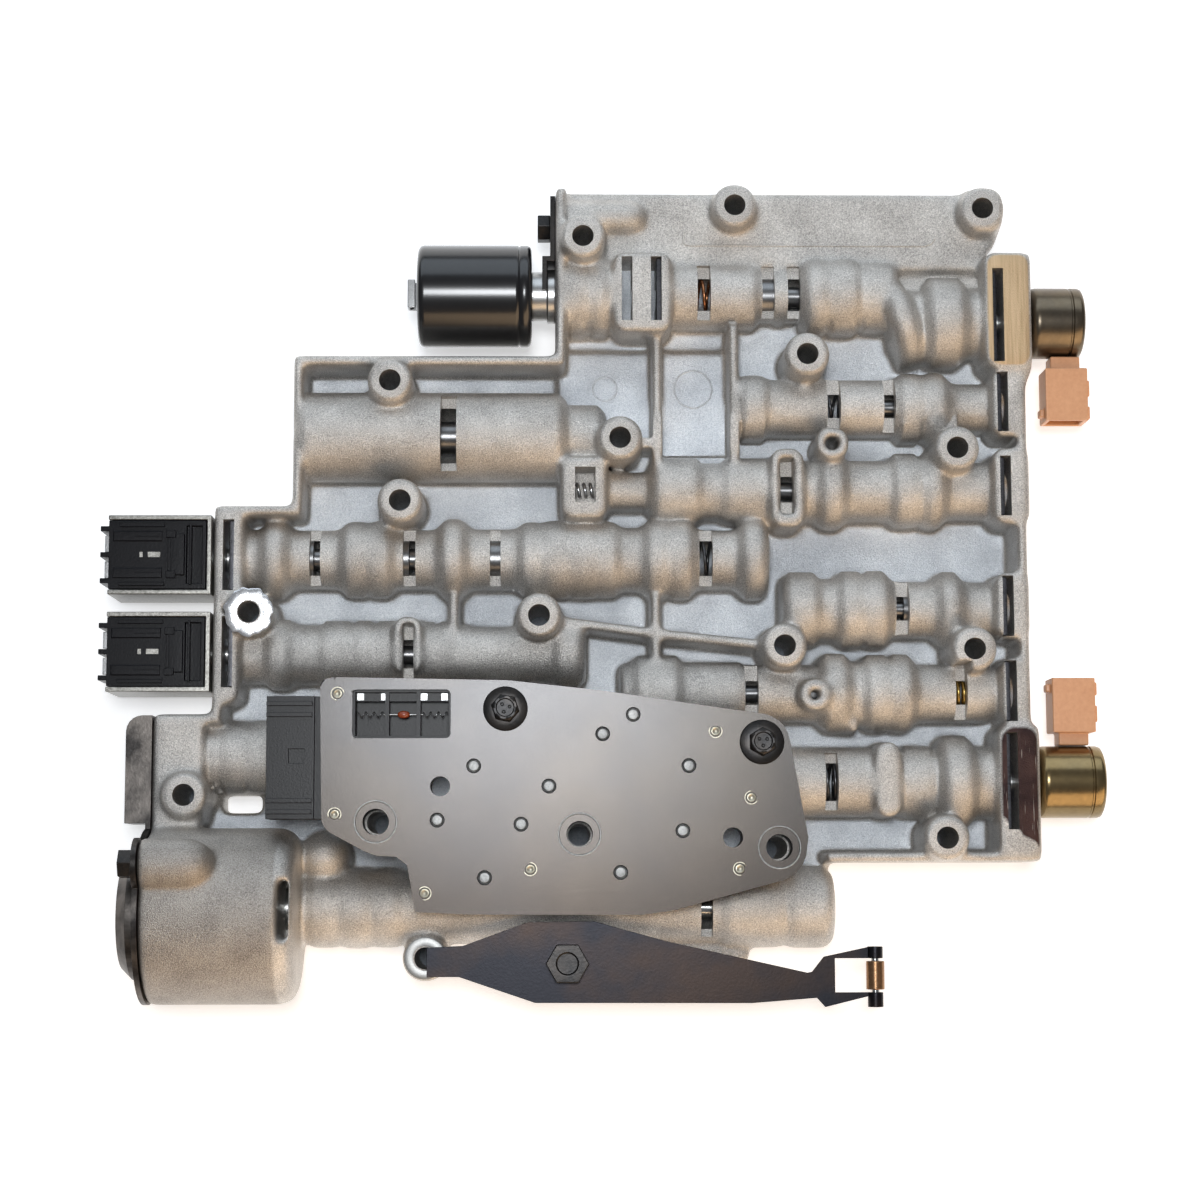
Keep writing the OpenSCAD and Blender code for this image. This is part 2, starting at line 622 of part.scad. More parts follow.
module casting_solid() {
    linear_extrude(web_t) polygon(places(outline_shares));
    translate([0, 0, web_t / 2]) linear_extrude(rim_h - web_t / 2) difference() {
        polygon(places(outline_shares));
        offset(delta = -wall_t) polygon(places(outline_shares));
        translate([at_x(flange_share[0]) + wall_t, at_y(flange_share[1])])
            square([at_x(flange_share[2]), at_y(flange_share[3])]);
        for (s = rim_gap_shares)
            translate([at_x(s[0]), at_y(s[1])]) square([at_x(s[2] - s[0]), at_y(s[3] - s[1])]);
    }
    share_box(flange_share, web_t / 2, flange_h);
    translate([0, 0, web_t / 2]) linear_extrude(flange_h - web_t / 2)
        polygon(places(flange_corner_shares));
    translate([at_x(ridge_share[0]), at_y(ridge_share[2]), flange_h]) along_x()
        cylinder(r = ridge_r, h = at_x(ridge_share[1] - ridge_share[0]), $fn = small_n);
    translate([at_x(ridge_share[1]), at_y(ridge_share[2]), flange_h])
        sphere(r = ridge_r * flank_share, $fn = small_n);
    share_box(flange_step_share, web_t / 2, flange_h - wall_t);
    for (row = ROWS) row_solid(row);
    leaning_bead();
    for (s = block_shares) cut_box(s, web_t / 2, rim_h, pad_edge);
    for (s = tall_block_shares) cut_box(s, 0, pad_h, pad_edge);
    for (s = case_hole_shares)
        translate([at_x(s[0]), at_y(s[1]), 0]) cylinder(r = boss_r, h = boss_h, $fn = round_n);
    for (s = low_hole_shares)
        translate([at_x(s[0]), at_y(s[1]), 0]) cylinder(r = boss_r, h = low_boss_h, $fn = round_n);
    translate([at_x(leaf_hole_share[0]), at_y(leaf_hole_share[1]), 0])
        cylinder(r = boss_r, h = leaf_z - leaf_boss_drop, $fn = round_n);
    for (s = seal_shares)
        translate([at_x(s[0]), at_y(s[1]), web_t / 2])
            cylinder(r = seal_post_r, h = boss_h - switch_seal_t - web_t / 2, $fn = round_n);
    for (s = post_shares)
        translate([at_x(s[0]), at_y(s[1]), web_t / 2])
            cylinder(r = boss_r * s[2], h = post_h - web_t / 2, $fn = round_n);
    for (s = switch_bolt_shares)
        translate([at_x(s[0]), at_y(s[1]), web_t / 2])
            cylinder(r = seal_post_r, h = boss_h - web_t / 2, $fn = round_n);
    for (s = rib_shares) rib(s, rib_h);
    for (s = panel_shares) share_box(s, web_t / 2, web_t + panel_rise);
    for (s = ring_shares) translate([at_x(s[0]), at_y(s[1]), web_t]) difference() {
        cylinder(r = boss_r * s[2], h = panel_rise + ring_rise, $fn = round_n);
        translate([0, 0, -cut_over])
            cylinder(r = boss_r * s[2] - ring_w, h = panel_rise + ring_rise + 2 * cut_over, $fn = round_n);
    }
    share_box(lug_share, 0, leaf_z);
    share_box(foot_share, 0, foot_h);
    translate([at_x(bulge_share[0]), at_y(bulge_share[1]), 0]) {
        cylinder(r = bulge_r, h = bulge_h, $fn = round_n);
        translate([0, 0, bulge_h]) sphere(r = bulge_r * flank_share, $fn = round_n);
    }
    accumulator_solid();
}

module leaning_bead() {
    r = lean_bead_share[2] * lobe_r;
    half = lean_bead_w / 2;
    translate([at_x(lean_bead_share[0]), at_y(lean_bead_share[1])])
    rotate([0, 0, lean_bead_angle]) {
        translate([0, 0, bore_z]) turned([
            [-half, 0], [-half, r - lobe_edge], [lobe_edge - half, r],
            [half - lobe_edge, r], [half, r - lobe_edge], [half, 0]]);
        translate([-half, -r * flank_share, web_t / 2])
            cube([lean_bead_w, 2 * r * flank_share, bore_z - web_t / 2]);
    }
}

module accumulator_solid() {
    length = acc_right - acc_left;
    translate([acc_left, acc_y, acc_z]) turned([
        [0, 0], [0, acc_out_r], [length - acc_edge, acc_out_r],
        [length - acc_edge * 0.3, acc_out_r - acc_edge * 0.3],
        [length, acc_out_r - acc_edge], [length, 0]]);
    difference() {
        translate([acc_left, acc_y, acc_z]) rotate([acc_boss_angle, 0, 0])
            translate([0, acc_out_r + acc_boss_rise, 0]) {
                along_x() cylinder(r = acc_boss_r, h = at_x(acc_boss_share) - acc_left, $fn = round_n);
                translate([at_x(acc_boss_share) - acc_left, 0, 0])
                    sphere(r = acc_boss_r * flank_share, $fn = small_n);
            }
        translate([acc_left - acc_boss_r, acc_y - acc_out_r, acc_z - acc_out_r])
            cube([acc_boss_r, 2 * acc_out_r + acc_boss_r, 4 * acc_out_r]);
    }
}

module acc_bolt_place() {
    translate([acc_left, acc_y, acc_z]) rotate([acc_boss_angle, 0, 0])
        translate([0, acc_out_r + acc_boss_rise, 0]) along_x() children();
}
module low_bolt_place() {
    translate([acc_left, at_y(low_cover_bolt_share), low_cover_bolt_z]) along_x() children();
}

module casting_cuts() {
    for (s = concat(case_hole_shares, low_hole_shares, [leaf_hole_share]))
        translate([at_x(s[0]), at_y(s[1]), -cut_over])
            cylinder(r = case_hole_r, h = boss_h + 2 * cut_over, $fn = small_n);
    for (s = post_shares)
        translate([at_x(s[0]), at_y(s[1]), web_t])
            cylinder(r = case_hole_r * s[3], h = post_h, $fn = small_n);
    for (s = switch_bolt_shares)
        translate([at_x(s[0]), at_y(s[1]), boss_h - bolt_reach])
            cylinder(r = switch_bolt_r + bolt_gap, h = bolt_reach + cut_over, $fn = small_n);
    for (s = seal_shares)
        translate([at_x(s[0]), at_y(s[1]), -cut_over])
            cylinder(r = seal_port_r, h = boss_h + 2 * cut_over, $fn = small_n);
    for (b = bore_shares) bore_cut(b);
    translate([at_x(pilot_share[0]), at_y(row_e_shares[0]), bore_z]) along_x()
        cylinder(r = pilot_r, h = at_x(BORE_E[2] - pilot_share[0]) + cut_over, $fn = small_n);
    share_box(pocket_share, bore_z - pilot_r / 4, rim_h + cut_over);
    for (b = bore_shares) row_ports(b[0], b);
    for (b = bore_shares) {
        if (b != BORE_L && b != BORE_K && b != BORE_D) slot_cut(b, slot_length(b), pad_h);
    }
    for (w = window_shares) {
        half = (w[0] == row_d_shares ? wide_window_share : window_half_share) * lobe_r;
        translate([at_x(w[1]), at_y(w[0][0]) - half, bore_z + ledge_h])
            cube([at_x(w[2] - w[1]), 2 * half, rim_h]);
    }
    translate([at_x(bypass_share) - slot_w / 2, at_y(row_a_shares[0]) - slot_length(BORE_A) / 2, -cut_over])
        cube([slot_w, slot_length(BORE_A), rim_h + 2 * cut_over]);
    translate([0, 0, -cut_over]) linear_extrude(channel_d + cut_over)
        union() for (s = channel_shares) channel(s);
    share_box(gap_share, -cut_over, rim_h);
    translate([acc_left - cut_over, acc_y, acc_z]) along_x()
        cylinder(r = acc_bore_r, h = acc_right - acc_left - acc_wall + cut_over, $fn = round_n);
    acc_bolt_place() translate([0, 0, -cut_over])
        cylinder(r = cover_bolt_r + bolt_gap, h = bolt_reach + cut_over, $fn = small_n);
    low_bolt_place() translate([0, 0, -cut_over])
        cylinder(r = cover_bolt_r + bolt_gap, h = bolt_reach + cut_over, $fn = small_n);
    translate([at_x(detent_bolt_share[0]), at_y(detent_bolt_share[1]), leaf_z - bolt_reach])
        cylinder(r = detent_bolt_r + bolt_gap, h = bolt_reach + cut_over, $fn = small_n);
    translate([wall_x - cut_over, at_y(bracket_bolt_share), bore_z]) along_x()
        cylinder(r = bracket_bolt_r + bolt_gap, h = bolt_reach + cut_over, $fn = small_n);
    translate([acc_right - acc_wall - cut_over, acc_y, acc_z]) along_x()
        cylinder(r = acc_pin_r + bolt_gap, h = pin_seat + cut_over, $fn = small_n);
}

module valve_body_casting() {
    color([0.66, 0.64, 0.62]) difference() {
        casting_solid();
        casting_cuts();
    }
}

// Bolt that points down Z from its seat: hexagon head, optional flange and shank
module hex_bolt(head_r, head_h, shank_r, reach, flange_r = 0, flange_t = 0) {
    difference() {
        union() {
            translate([0, 0, flange_t]) cylinder(r = head_r, h = head_h, $fn = 6);
            if (flange_r > 0) cylinder(r = flange_r, h = flange_t, $fn = round_n);
            translate([0, 0, -reach]) cylinder(r = shank_r, h = reach, $fn = small_n);
            cylinder(r = shank_r, h = flange_t + head_h / 2, $fn = small_n);
        }
        translate([0, 0, flange_t + head_h - head_h / 6])
            cylinder(r = head_r / 2, h = head_h, $fn = small_n);
    }
}

module switch_outline() {
    polygon(places(switch_shares));
}
module at_shares(shares, z) {
    for (s = shares) translate([at_x(s[0]), at_y(s[1]), z]) children();
}

module switch_plate() {
    color([0.5, 0.49, 0.48]) difference() {
        translate([0, 0, housing_top]) linear_extrude(plate_t) switch_outline();
        share_box(switch_window_share, housing_top - cut_over, plate_top + cut_over);
        at_shares(big_hole_shares, boss_h)
            cylinder(r = switch_hole_r, h = housing_h * 2, $fn = small_n);
        at_shares(medium_hole_shares, boss_h)
            cylinder(r = medium_hole_r, h = housing_h * 2, $fn = small_n);
        at_shares(big_hole_shares, plate_top - big_ring_d)
            cylinder(r = big_ring_r, h = plate_t, $fn = round_n);
        at_shares(switch_bolt_shares, boss_h)
            cylinder(r = switch_bolt_r + bolt_gap, h = housing_h * 2, $fn = small_n);
        at_shares(plug_rivet_shares, boss_h)
            cylinder(r = plug_rivet_r + rivet_gap, h = housing_h * 2, $fn = small_n);
        at_shares(small_rivet_shares, boss_h)
            cylinder(r = small_rivet_r + rivet_gap, h = housing_h * 2, $fn = small_n);
    }
}

module switch_housing() {
    w = switch_window_share;
    x1 = at_x(switch_shares[0][0]) + wall_t;
    y0 = at_y(connector_y_share) - connector_wid / 2;
    z0 = plate_top - connector_h;
    color([0.12, 0.12, 0.13]) difference() {
        union() {
            translate([0, 0, boss_h]) linear_extrude(housing_h)
                offset(delta = -wall_t / 4) switch_outline();
            translate([x1 - wall_t - connector_len, y0, z0])
                cube([connector_len + wall_t, connector_wid, connector_h - plate_t]);
            translate([x1 - wall_t - connector_len, y0, z0])
                cube([connector_len - plate_t, connector_wid, connector_h]);
            for (s = connector_rib_shares)
                translate([x1 - wall_t - connector_len, y0 + connector_wid * s, z0])
                cube([connector_len * 0.86, connector_wall * 0.7, connector_h + connector_wall / 2]);
        }
        translate([at_x(w[0]) + wall_t / 4, at_y(w[1]) + wall_t / 4, boss_h + window_floor])
            cube([at_x(w[2] - w[0]) - wall_t / 2, at_y(w[3] - w[1]) - wall_t / 2, housing_h]);
        translate([x1 - wall_t - connector_len - cut_over, y0 + connector_wall, z0 + connector_wall])
            cube([connector_socket + cut_over, connector_wid - 2 * connector_wall,
                connector_h - plate_t - 2 * connector_wall]);
        translate([x1 - wall_t - connector_len * (1 - latch_share[0]),
            y0 + connector_wid * latch_share[1], plate_top - connector_wall / 2])
            cube([connector_len * (latch_share[2] - latch_share[0]),
                connector_wid * (latch_share[3] - latch_share[1]), connector_wall]);
        at_shares(big_hole_shares, boss_h - cut_over)
            cylinder(r = switch_hole_r, h = housing_h * 2, $fn = small_n);
        at_shares(medium_hole_shares, boss_h - cut_over)
            cylinder(r = medium_hole_r, h = housing_h * 2, $fn = small_n);
        at_shares(switch_bolt_shares, boss_h - cut_over)
            cylinder(r = switch_bolt_r + bolt_gap, h = housing_h * 2, $fn = small_n);
    }
}

module switch_seals() {
    color([0.08, 0.08, 0.08]) at_shares(seal_shares, boss_h - switch_seal_t) difference() {
        cylinder(r = switch_seal_r, h = switch_seal_t, $fn = small_n);
        translate([0, 0, -cut_over])
            cylinder(r = switch_seal_r * 0.65, h = switch_seal_t + 2 * cut_over, $fn = small_n);
    }
}

module switch_rivets() {
    color([0.55, 0.54, 0.52]) {
        at_shares(plug_rivet_shares, housing_top)
            cylinder(r = plug_rivet_r, h = plate_t + rivet_rise, $fn = small_n);
        at_shares(small_rivet_shares, housing_top) difference() {
            cylinder(r = small_rivet_r, h = plate_t + rivet_rise, $fn = small_n);
            translate([0, 0, plate_t]) cylinder(r = small_rivet_r / 2, h = plate_t, $fn = small_n);
        }
    }
}

module switch_terminals() {
    w = switch_window_share;
    x0 = at_x(w[0]) + wall_t / 4;
    len_x = at_x(w[2] - w[0]) - wall_t / 2;
    y0 = at_y(w[1]) + wall_t / 4;
    len_y = at_y(w[3] - w[1]) - wall_t / 2;
    color([0.75, 0.74, 0.7]) {
        for (i = [1:5])
            translate([x0 + len_x * i / 6 - terminal_w / 2, y0 + len_y * 0.72, boss_h + window_floor])
                cube([terminal_w, terminal_w, terminal_t * 2]);
        translate([x0 + terminal_w, y0 + len_y / 2 - terminal_w / 2, boss_h + window_floor])
            cube([len_x / 2 - terminal_w * 2, terminal_w, terminal_t]);
        translate([x0 + len_x / 2 + terminal_w, y0 + len_y / 2 - terminal_w / 2, boss_h + window_floor])
            cube([len_x / 2 - terminal_w * 2, terminal_w, terminal_t]);
        for (i = [1:5]) translate([
            at_x(switch_shares[0][0]) - connector_len + connector_socket - terminal_w * 2,
            at_y(connector_y_share) + connector_wid * (i / 6 - 0.5), plate_top - connector_h / 2])
            cube([terminal_w * 2, terminal_t, terminal_t]);
    }
}

module switch_thermistor() {
    w = switch_window_share;
    color([0.75, 0.3, 0.1])
        translate([at_x((w[0] + w[2]) / 2) - terminal_w * 0.9, at_y((w[1] + w[3]) / 2),
            boss_h + window_floor + thermistor_r])
            along_x() cylinder(r = thermistor_r, h = terminal_w * 1.8, $fn = small_n);
}

module switch_bolts() {
    color([0.16, 0.15, 0.15]) at_shares(switch_bolt_shares, plate_top)
        hex_bolt(switch_head_r, switch_head_h, switch_bolt_r, plate_t + housing_h + bolt_reach * 0.8,
            switch_flange_r, switch_flange_t);
}

// Solenoid can along X, with softened edges
module can(r, length, edge) {
    turned([[0, 0], [0, r - edge], [edge * 0.3, r - edge * 0.3], [edge, r],
        [length - edge, r], [length - edge * 0.3, r - edge * 0.3], [length, r - edge], [length, 0]]);
}

// Places of the pressure control solenoid, from the casting's wall outwards
epc_flange_x = wall_x - epc_flange_t;
epc_neck_x = epc_flange_x - epc_neck;
epc_can_x = epc_neck_x - epc_len;

module pressure_solenoid_can() {
    color([0.07, 0.07, 0.08]) translate([epc_can_x, at_y(row_a_shares[0]), bore_z])
        can(epc_r, epc_len, can_edge);
}

module pressure_solenoid_terminal() {
    y = at_y(row_a_shares[0]);
    color([0.75, 0.75, 0.75]) translate([epc_can_x - clip_reach, y - epc_clip_w / 2, bore_z - terminal_t]) {
        cube([clip_reach, epc_clip_w, terminal_t]);
        cube([terminal_t, epc_clip_w, epc_clip_w / 2]);
        translate([0, 0, epc_clip_w / 2]) cube([clip_reach * 0.7, epc_clip_w, terminal_t]);
    }
}

module pressure_solenoid_nose() {
    tip = at_x(epc_tip_share) - epc_neck_x;
    r = bore_r - nose_gap;
    color([0.72, 0.72, 0.72]) translate([epc_neck_x, at_y(row_a_shares[0]), bore_z]) turned([
        [0, 0], [0, epc_neck_r], [epc_neck, epc_neck_r], [epc_neck, epc_flange_r],
        [epc_neck + epc_flange_t, epc_flange_r], [epc_neck + epc_flange_t, r],
        [tip - terminal_t, r], [tip, r - terminal_t], [tip, 0]]);
}

module pressure_solenoid_bracket() {
    y = at_y(row_a_shares[0]);
    x = epc_flange_x - bracket_t;
    top = at_y(bracket_share[0]);
    fold = at_y(bracket_share[1]);
    h = 2 * (bore_z - bracket_low);
    color([0.2, 0.18, 0.17]) difference() {
        union() {
            translate([x, y, bracket_low]) cube([bracket_t, fold - y + bracket_t, h]);
            translate([x, fold, bracket_low]) cube([wall_x - x, bracket_t, h]);
            translate([wall_x - bracket_t, fold, bracket_low]) cube([bracket_t, top - fold, h]);
        }
        translate([x - cut_over, y, bore_z]) along_x()
            cylinder(r = epc_neck_r + bolt_gap, h = bracket_t + 2 * cut_over, $fn = round_n);
        translate([wall_x - bracket_t - cut_over, at_y(bracket_bolt_share), bore_z]) along_x()
            cylinder(r = bracket_bolt_r + bolt_gap, h = bracket_t + 2 * cut_over, $fn = small_n);
    }
}

module bracket_bolt() {
    color([0.14, 0.13, 0.13])
        translate([wall_x - bracket_t, at_y(bracket_bolt_share), bore_z]) rotate([0, -90, 0])
            hex_bolt(bracket_head_r, bracket_head_h, bracket_bolt_r, bracket_t + bolt_reach * 0.8);
}

// Shift solenoids, beside the casting's left face
shift_right = at_x(outline_shares[23][0]) - shift_gap;
shift_left = shift_right - shift_len;

module shift_frame(b) {
    y = at_y(b[0][0]);
    color([0.5, 0.5, 0.48]) translate([shift_left, y - shift_wid / 2, bore_z - shift_h / 2]) difference() {
        cube([shift_len, shift_wid, shift_h]);
        translate([-cut_over, frame_t, -cut_over])
            cube([shift_len - frame_t + cut_over, shift_wid - 2 * frame_t, shift_h + 2 * cut_over]);
        translate([0, shift_wid / 2, shift_h / 2]) along_x()
            cylinder(r = shift_nose_r * stem_share + nose_gap, h = shift_len + cut_over, $fn = small_n);
    }
}

module shift_coil(b) {
    y = at_y(b[0][0]);
    length = shift_len - frame_t - 2 * shift_body_gap;
    width = shift_wid - 2 * frame_t - 2 * shift_body_gap;
    low = bore_z - shift_h / 2;
    x = shift_left + shift_body_gap;
    color([0.07, 0.07, 0.08]) difference() {
        union() {
            translate([x, y - width / 2, low]) cube([length, width, shift_h]);
            translate([x + length * 0.62, y - width * 0.3, low])
                cube([length * 0.16, width * 0.6, shift_h + cap_rise]);
            translate([x + length * 0.05, y + width * 0.2, low])
                cube([length * 0.5, width * 0.14, shift_h + cap_rise / 2]);
            translate([x + length * 0.05, y - width * 0.34, low])
                cube([length * 0.5, width * 0.14, shift_h + cap_rise / 2]);
            for (i = [-1:1]) translate([x - prong_len, y + i * width * 0.38 - prong_w / 2, bore_z])
                cube([prong_len + cut_over, prong_w, shift_h / 2]);
        }
        translate([x + length * 0.8, y - width * 0.42, low + shift_h - coil_recess])
            cube([length * 0.16, width * 0.84, shift_h]);
    }
}

module shift_nose(b) {
    y = at_y(b[0][0]);
    r = radius(b) - nose_gap;
    neck = radius(b) * nose_neck_share;
    start = shift_right - frame_t;
    face = shift_right + shift_gap - start;
    slot0 = at_x(b[5]) - slot_w / 2 - start;
    tip = plug_in(b) - start;
    color([0.78, 0.78, 0.78]) translate([start, y, bore_z]) turned([
        [0, 0], [0, shift_nose_r * stem_share], [frame_t, shift_nose_r * stem_share], [frame_t, r],
        [slot0, r], [slot0, neck], [slot0 + slot_w, neck], [slot0 + slot_w, r],
        [tip - terminal_t, r], [tip, r - terminal_t], [tip, 0]], small_n);
}

module shift_solenoid_terminals() {
    width = shift_wid - 2 * frame_t - 2 * shift_body_gap;
    color([0.8, 0.8, 0.8]) for (b = [BORE_F, BORE_G]) for (i = [-1:2:1])
        translate([shift_left + shift_body_gap - prong_len * 0.8,
            at_y(b[0][0]) + i * width * 0.19 - terminal_w, bore_z + shift_h / 4])
            cube([prong_len * 0.8, terminal_w * 2, terminal_t]);
}

// Small solenoids on the machined pads at the right
pad_face = at_x(tall_block_shares[0][2]);
low_pad_face = at_x(tall_block_shares[1][2]);

module small_nose(b, face) {
    r = radius(b) - nose_gap;
    neck = radius(b) * nose_neck_share;
    tip = plug_in(b);
    slot0 = at_x(b[5]) - slot_w / 2;
    color([0.78, 0.78, 0.78]) translate([0, at_y(b[0][0]), bore_z]) turned([
        [tip, 0], [tip, r - terminal_t], [tip + terminal_t, r], [slot0, r], [slot0, neck],
        [slot0 + slot_w, neck], [slot0 + slot_w, r], [face, r], [face + shift_gap, r],
        [face + shift_gap, 0]], small_n);
}

module small_can(b, face, length) {
    color([0.5, 0.44, 0.34]) translate([face + shift_gap, at_y(b[0][0]), bore_z])
        can(can_r, length, can_edge);
}

// Moulded connector beside a small can, reaching along Y in the given direction
module small_connector(b, x, way) {
    y = at_y(b[0][0]) + way * (can_r + spring_gap / 3);
    color([0.92, 0.7, 0.55]) translate([x, y, bore_z]) mirror([0, way < 0 ? 1 : 0, 0]) difference() {
        union() {
            translate([-plug_wid * 0.35, 0, -plug_h * 0.35])
                cube([plug_wid * 0.7, plug_neck + cut_over, plug_h * 0.7]);
            translate([-plug_wid / 2, plug_neck, -plug_h / 2])
                cube([plug_wid, plug_reach - plug_neck, plug_h]);
            translate([plug_wid / 2, plug_reach * 0.35, -latch_w / 2])
                cube([latch_rise, plug_reach * 0.25, latch_w]);
            translate([plug_wid / 2, plug_reach * 0.75, -latch_w / 2])
                cube([latch_rise, plug_reach * 0.2, latch_w]);
            translate([-plug_wid / 2 - latch_rise, plug_reach * 0.8, -latch_w / 2])
                cube([latch_rise, plug_reach * 0.12, latch_w]);
        }
        translate([plug_wall - plug_wid / 2, plug_reach - socket_d, plug_wall - plug_h / 2])
            cube([plug_wid - 2 * plug_wall, socket_d + cut_over, plug_h - 2 * plug_wall]);
    }
}

// U-shaped clip in each retainer slot, straddling the nose or holding the plug
module retainer_clips() {
    color([0.3, 0.3, 0.32]) for (b = bore_shares) {
        if (b != BORE_L && b != BORE_K && b != BORE_D) {
            x0 = opens(b) > 0 ? plug_out(b) : plug_out(b) - clip_t;
            top = rim_h - plate_t;
            low = bore_z - radius(b) * flank_share;
            half = slot_length(b) / 2 - spring_gap;
            notch = radius(b) * (nose_neck_share + 0.06);
            translate([x0, at_y(b[0][0]), 0]) difference() {
                translate([0, -half, low]) cube([clip_t, 2 * half, top - low]);
                translate([-cut_over, 0, bore_z]) along_x()
                    cylinder(r = notch, h = clip_t + 2 * cut_over, $fn = small_n);
                translate([-cut_over, -notch * flank_share, low - cut_over])
                    cube([clip_t + 2 * cut_over, 2 * notch * flank_share, bore_z - low + cut_over]);
            }
        }
    }
}

module bore_plugs() {
    color([0.62, 0.62, 0.62]) for (b = [BORE_A, BORE_C, BORE_D, BORE_E, BORE_H, BORE_I])
        translate([min(plug_out(b), plug_in(b)), at_y(b[0][0]), bore_z]) along_x()
            cylinder(r = radius(b) - nose_gap, h = plug_len, $fn = round_n);
}

// Two ends of the spring and of the valve in a bore
function spring_seat(b) = b[6] > 0 ? at_x(b[2]) : plug_in(b);
function valve_stop(b) = b[6] > 0 ? plug_in(b) : at_x(b[2]);
function spool_points(x0, x1, r, lands) =
    let (stem = r * stem_share, length = x1 - x0)
    concat([[x0, 0]], [for (land = lands) each concat(
        land[0] > 0 ? [[x0 + land[0] * length, stem]] : [],
        [[x0 + land[0] * length, r], [x0 + land[1] * length, r]],
        land[1] < 1 ? [[x0 + land[1] * length, stem]] : [])],
        [[x1, 0]]);
module spool(x0, x1, r, lands, y) {
    translate([0, y, bore_z]) turned(spool_points(x0, x1, r, lands));
}
module valve(b, lands) {
    a = at_x(b[4]);
    stop = valve_stop(b);
    x0 = min(a, stop) + end_gap;
    x1 = max(a, stop) - end_gap;
    color([0.55, 0.54, 0.52]) spool(x0, x1, radius(b) - valve_gap, lands, at_y(b[0][0]));
}
// Relay valve: its lands run in the main bore and a stem in the pilot bore
module relay_valve() {
    b = BORE_E;
    color([0.55, 0.54, 0.52]) union() {
        spool(at_x(b[2]) + relay_room, plug_in(b) - end_gap, radius(b) - valve_gap,
            mid_land_shares, at_y(b[0][0]));
        translate([at_x(b[4]) + end_gap, at_y(b[0][0]), bore_z]) along_x()
            cylinder(r = pilot_r - valve_gap, h = at_x(b[2] - b[4]) + relay_room, $fn = small_n);
    }
}
module shuttle_valve() {
    color([0.6, 0.6, 0.58])
        spool(acc_left + end_gap, acc_left + shuttle_len, radius(BORE_K) - valve_gap,
            mid_land_shares, at_y(row_k_shares[0]));
}
module manual_valve() {
    color([0.6, 0.6, 0.58])
        spool(at_x(BORE_L[2]) + end_gap * 4, at_x(row_end(row_l_shares)) - slot_w / 2,
            radius(BORE_L) - valve_gap, manual_land_shares, at_y(row_l_shares[0]));
}

// Helical compression spring along X: rings of points along the coil
function coil_point(x0, x1, r, wire, turns, i, k) =
    let (
        count = turns * ring_steps,
        turn = 360 * i / ring_steps,
        side = 360 * k / wire_sides,
        x = x0 + wire + (x1 - x0 - 2 * wire) * i / count + wire * sin(side),
        out = r + wire * cos(side)
    )
    [x, out * cos(turn), out * sin(turn)];
module coil_spring(x0, x1, r, wire, turns) {
    count = turns * ring_steps;
    polyhedron(
        points = [for (i = [0:count]) for (k = [0:wire_sides - 1])
            coil_point(x0, x1, r, wire, turns, i, k)],
        faces = concat(
            [[for (k = [0:wire_sides - 1]) k]],
            [for (i = [0:count - 1]) for (k = [0:wire_sides - 1]) [
                i * wire_sides + k, (i + 1) * wire_sides + k,
                (i + 1) * wire_sides + (k + 1) % wire_sides, i * wire_sides + (k + 1) % wire_sides]],
            [[for (k = [wire_sides - 1:-1:0]) count * wire_sides + k]]));
}
module valve_spring(b, r, shade) {
    a = at_x(b[4]);
    seat = b == BORE_E ? at_x(pilot_share[0]) : spring_seat(b);
    color(shade) translate([0, at_y(b[0][0]), bore_z])
        coil_spring(min(a, seat) + end_gap, max(a, seat) - end_gap, r - spring_gap - wire_r, wire_r, b[7]);
}

module accumulator_cover() {
    h = dish_d - cover_t;
    k_low = at_y(block_shares[11][1]);
    k_top = at_y(block_shares[11][3]);
    color([0.38, 0.36, 0.34]) difference() {
        union() {
            translate([acc_left - cover_t, 0, 0]) rotate([90, 0, 90]) linear_extrude(cover_t) {
                translate([acc_y, acc_z]) circle(r = acc_out_r, $fn = round_n);
                translate([acc_y, cover_low]) square([k_top - acc_y, rim_h - cover_low]);
                translate([acc_y, acc_z]) rotate(acc_boss_angle)
                    translate([acc_out_r + acc_boss_rise, 0]) circle(r = acc_boss_r, $fn = round_n);
            }
            translate([acc_left - dish_d, acc_y, acc_z])
                turned([[0, 0], [0, dish_r - h / 2], [h / 2, dish_r], [h + cover_t / 2, dish_r],
                    [h + cover_t / 2, 0]]);
            translate([acc_left - dish_d, k_low + cover_t, bump_low])
                cube([h + cover_t / 2, k_top - k_low - cover_t, rim_h - bump_low]);
        }
        translate([acc_left - dish_d, acc_y, acc_z]) turned([
            [cover_t, 0], [cover_t, dish_r - (h + cover_t) / 2],
            [(h + cover_t) / 2, dish_r - cover_t],
            [h + 2 * cover_t, dish_r - cover_t], [h + 2 * cover_t, 0]]);
        translate([acc_left - h, k_low + 2 * cover_t, bump_low + cover_t])
            cube([dish_d, k_top - k_low - 3 * cover_t, rim_h - bump_low - 2 * cover_t]);
        acc_bolt_place() translate([0, 0, -cover_t - cut_over])
            cylinder(r = cover_bolt_r + bolt_gap, h = cover_t + 2 * cut_over, $fn = small_n);
        low_bolt_place() translate([0, 0, -cover_t - cut_over])
            cylinder(r = cover_bolt_r + bolt_gap, h = cover_t + 2 * cut_over, $fn = small_n);
    }
}

module cover_bolt() {
    translate([0, 0, -cover_t]) mirror([0, 0, 1])
        hex_bolt(cover_head_r, cover_head_h, cover_bolt_r, cover_t + bolt_reach * 0.8);
}
module accumulator_cover_bolts() {
    color([0.16, 0.15, 0.15]) {
        acc_bolt_place() cover_bolt();
        low_bolt_place() cover_bolt();
    }
}

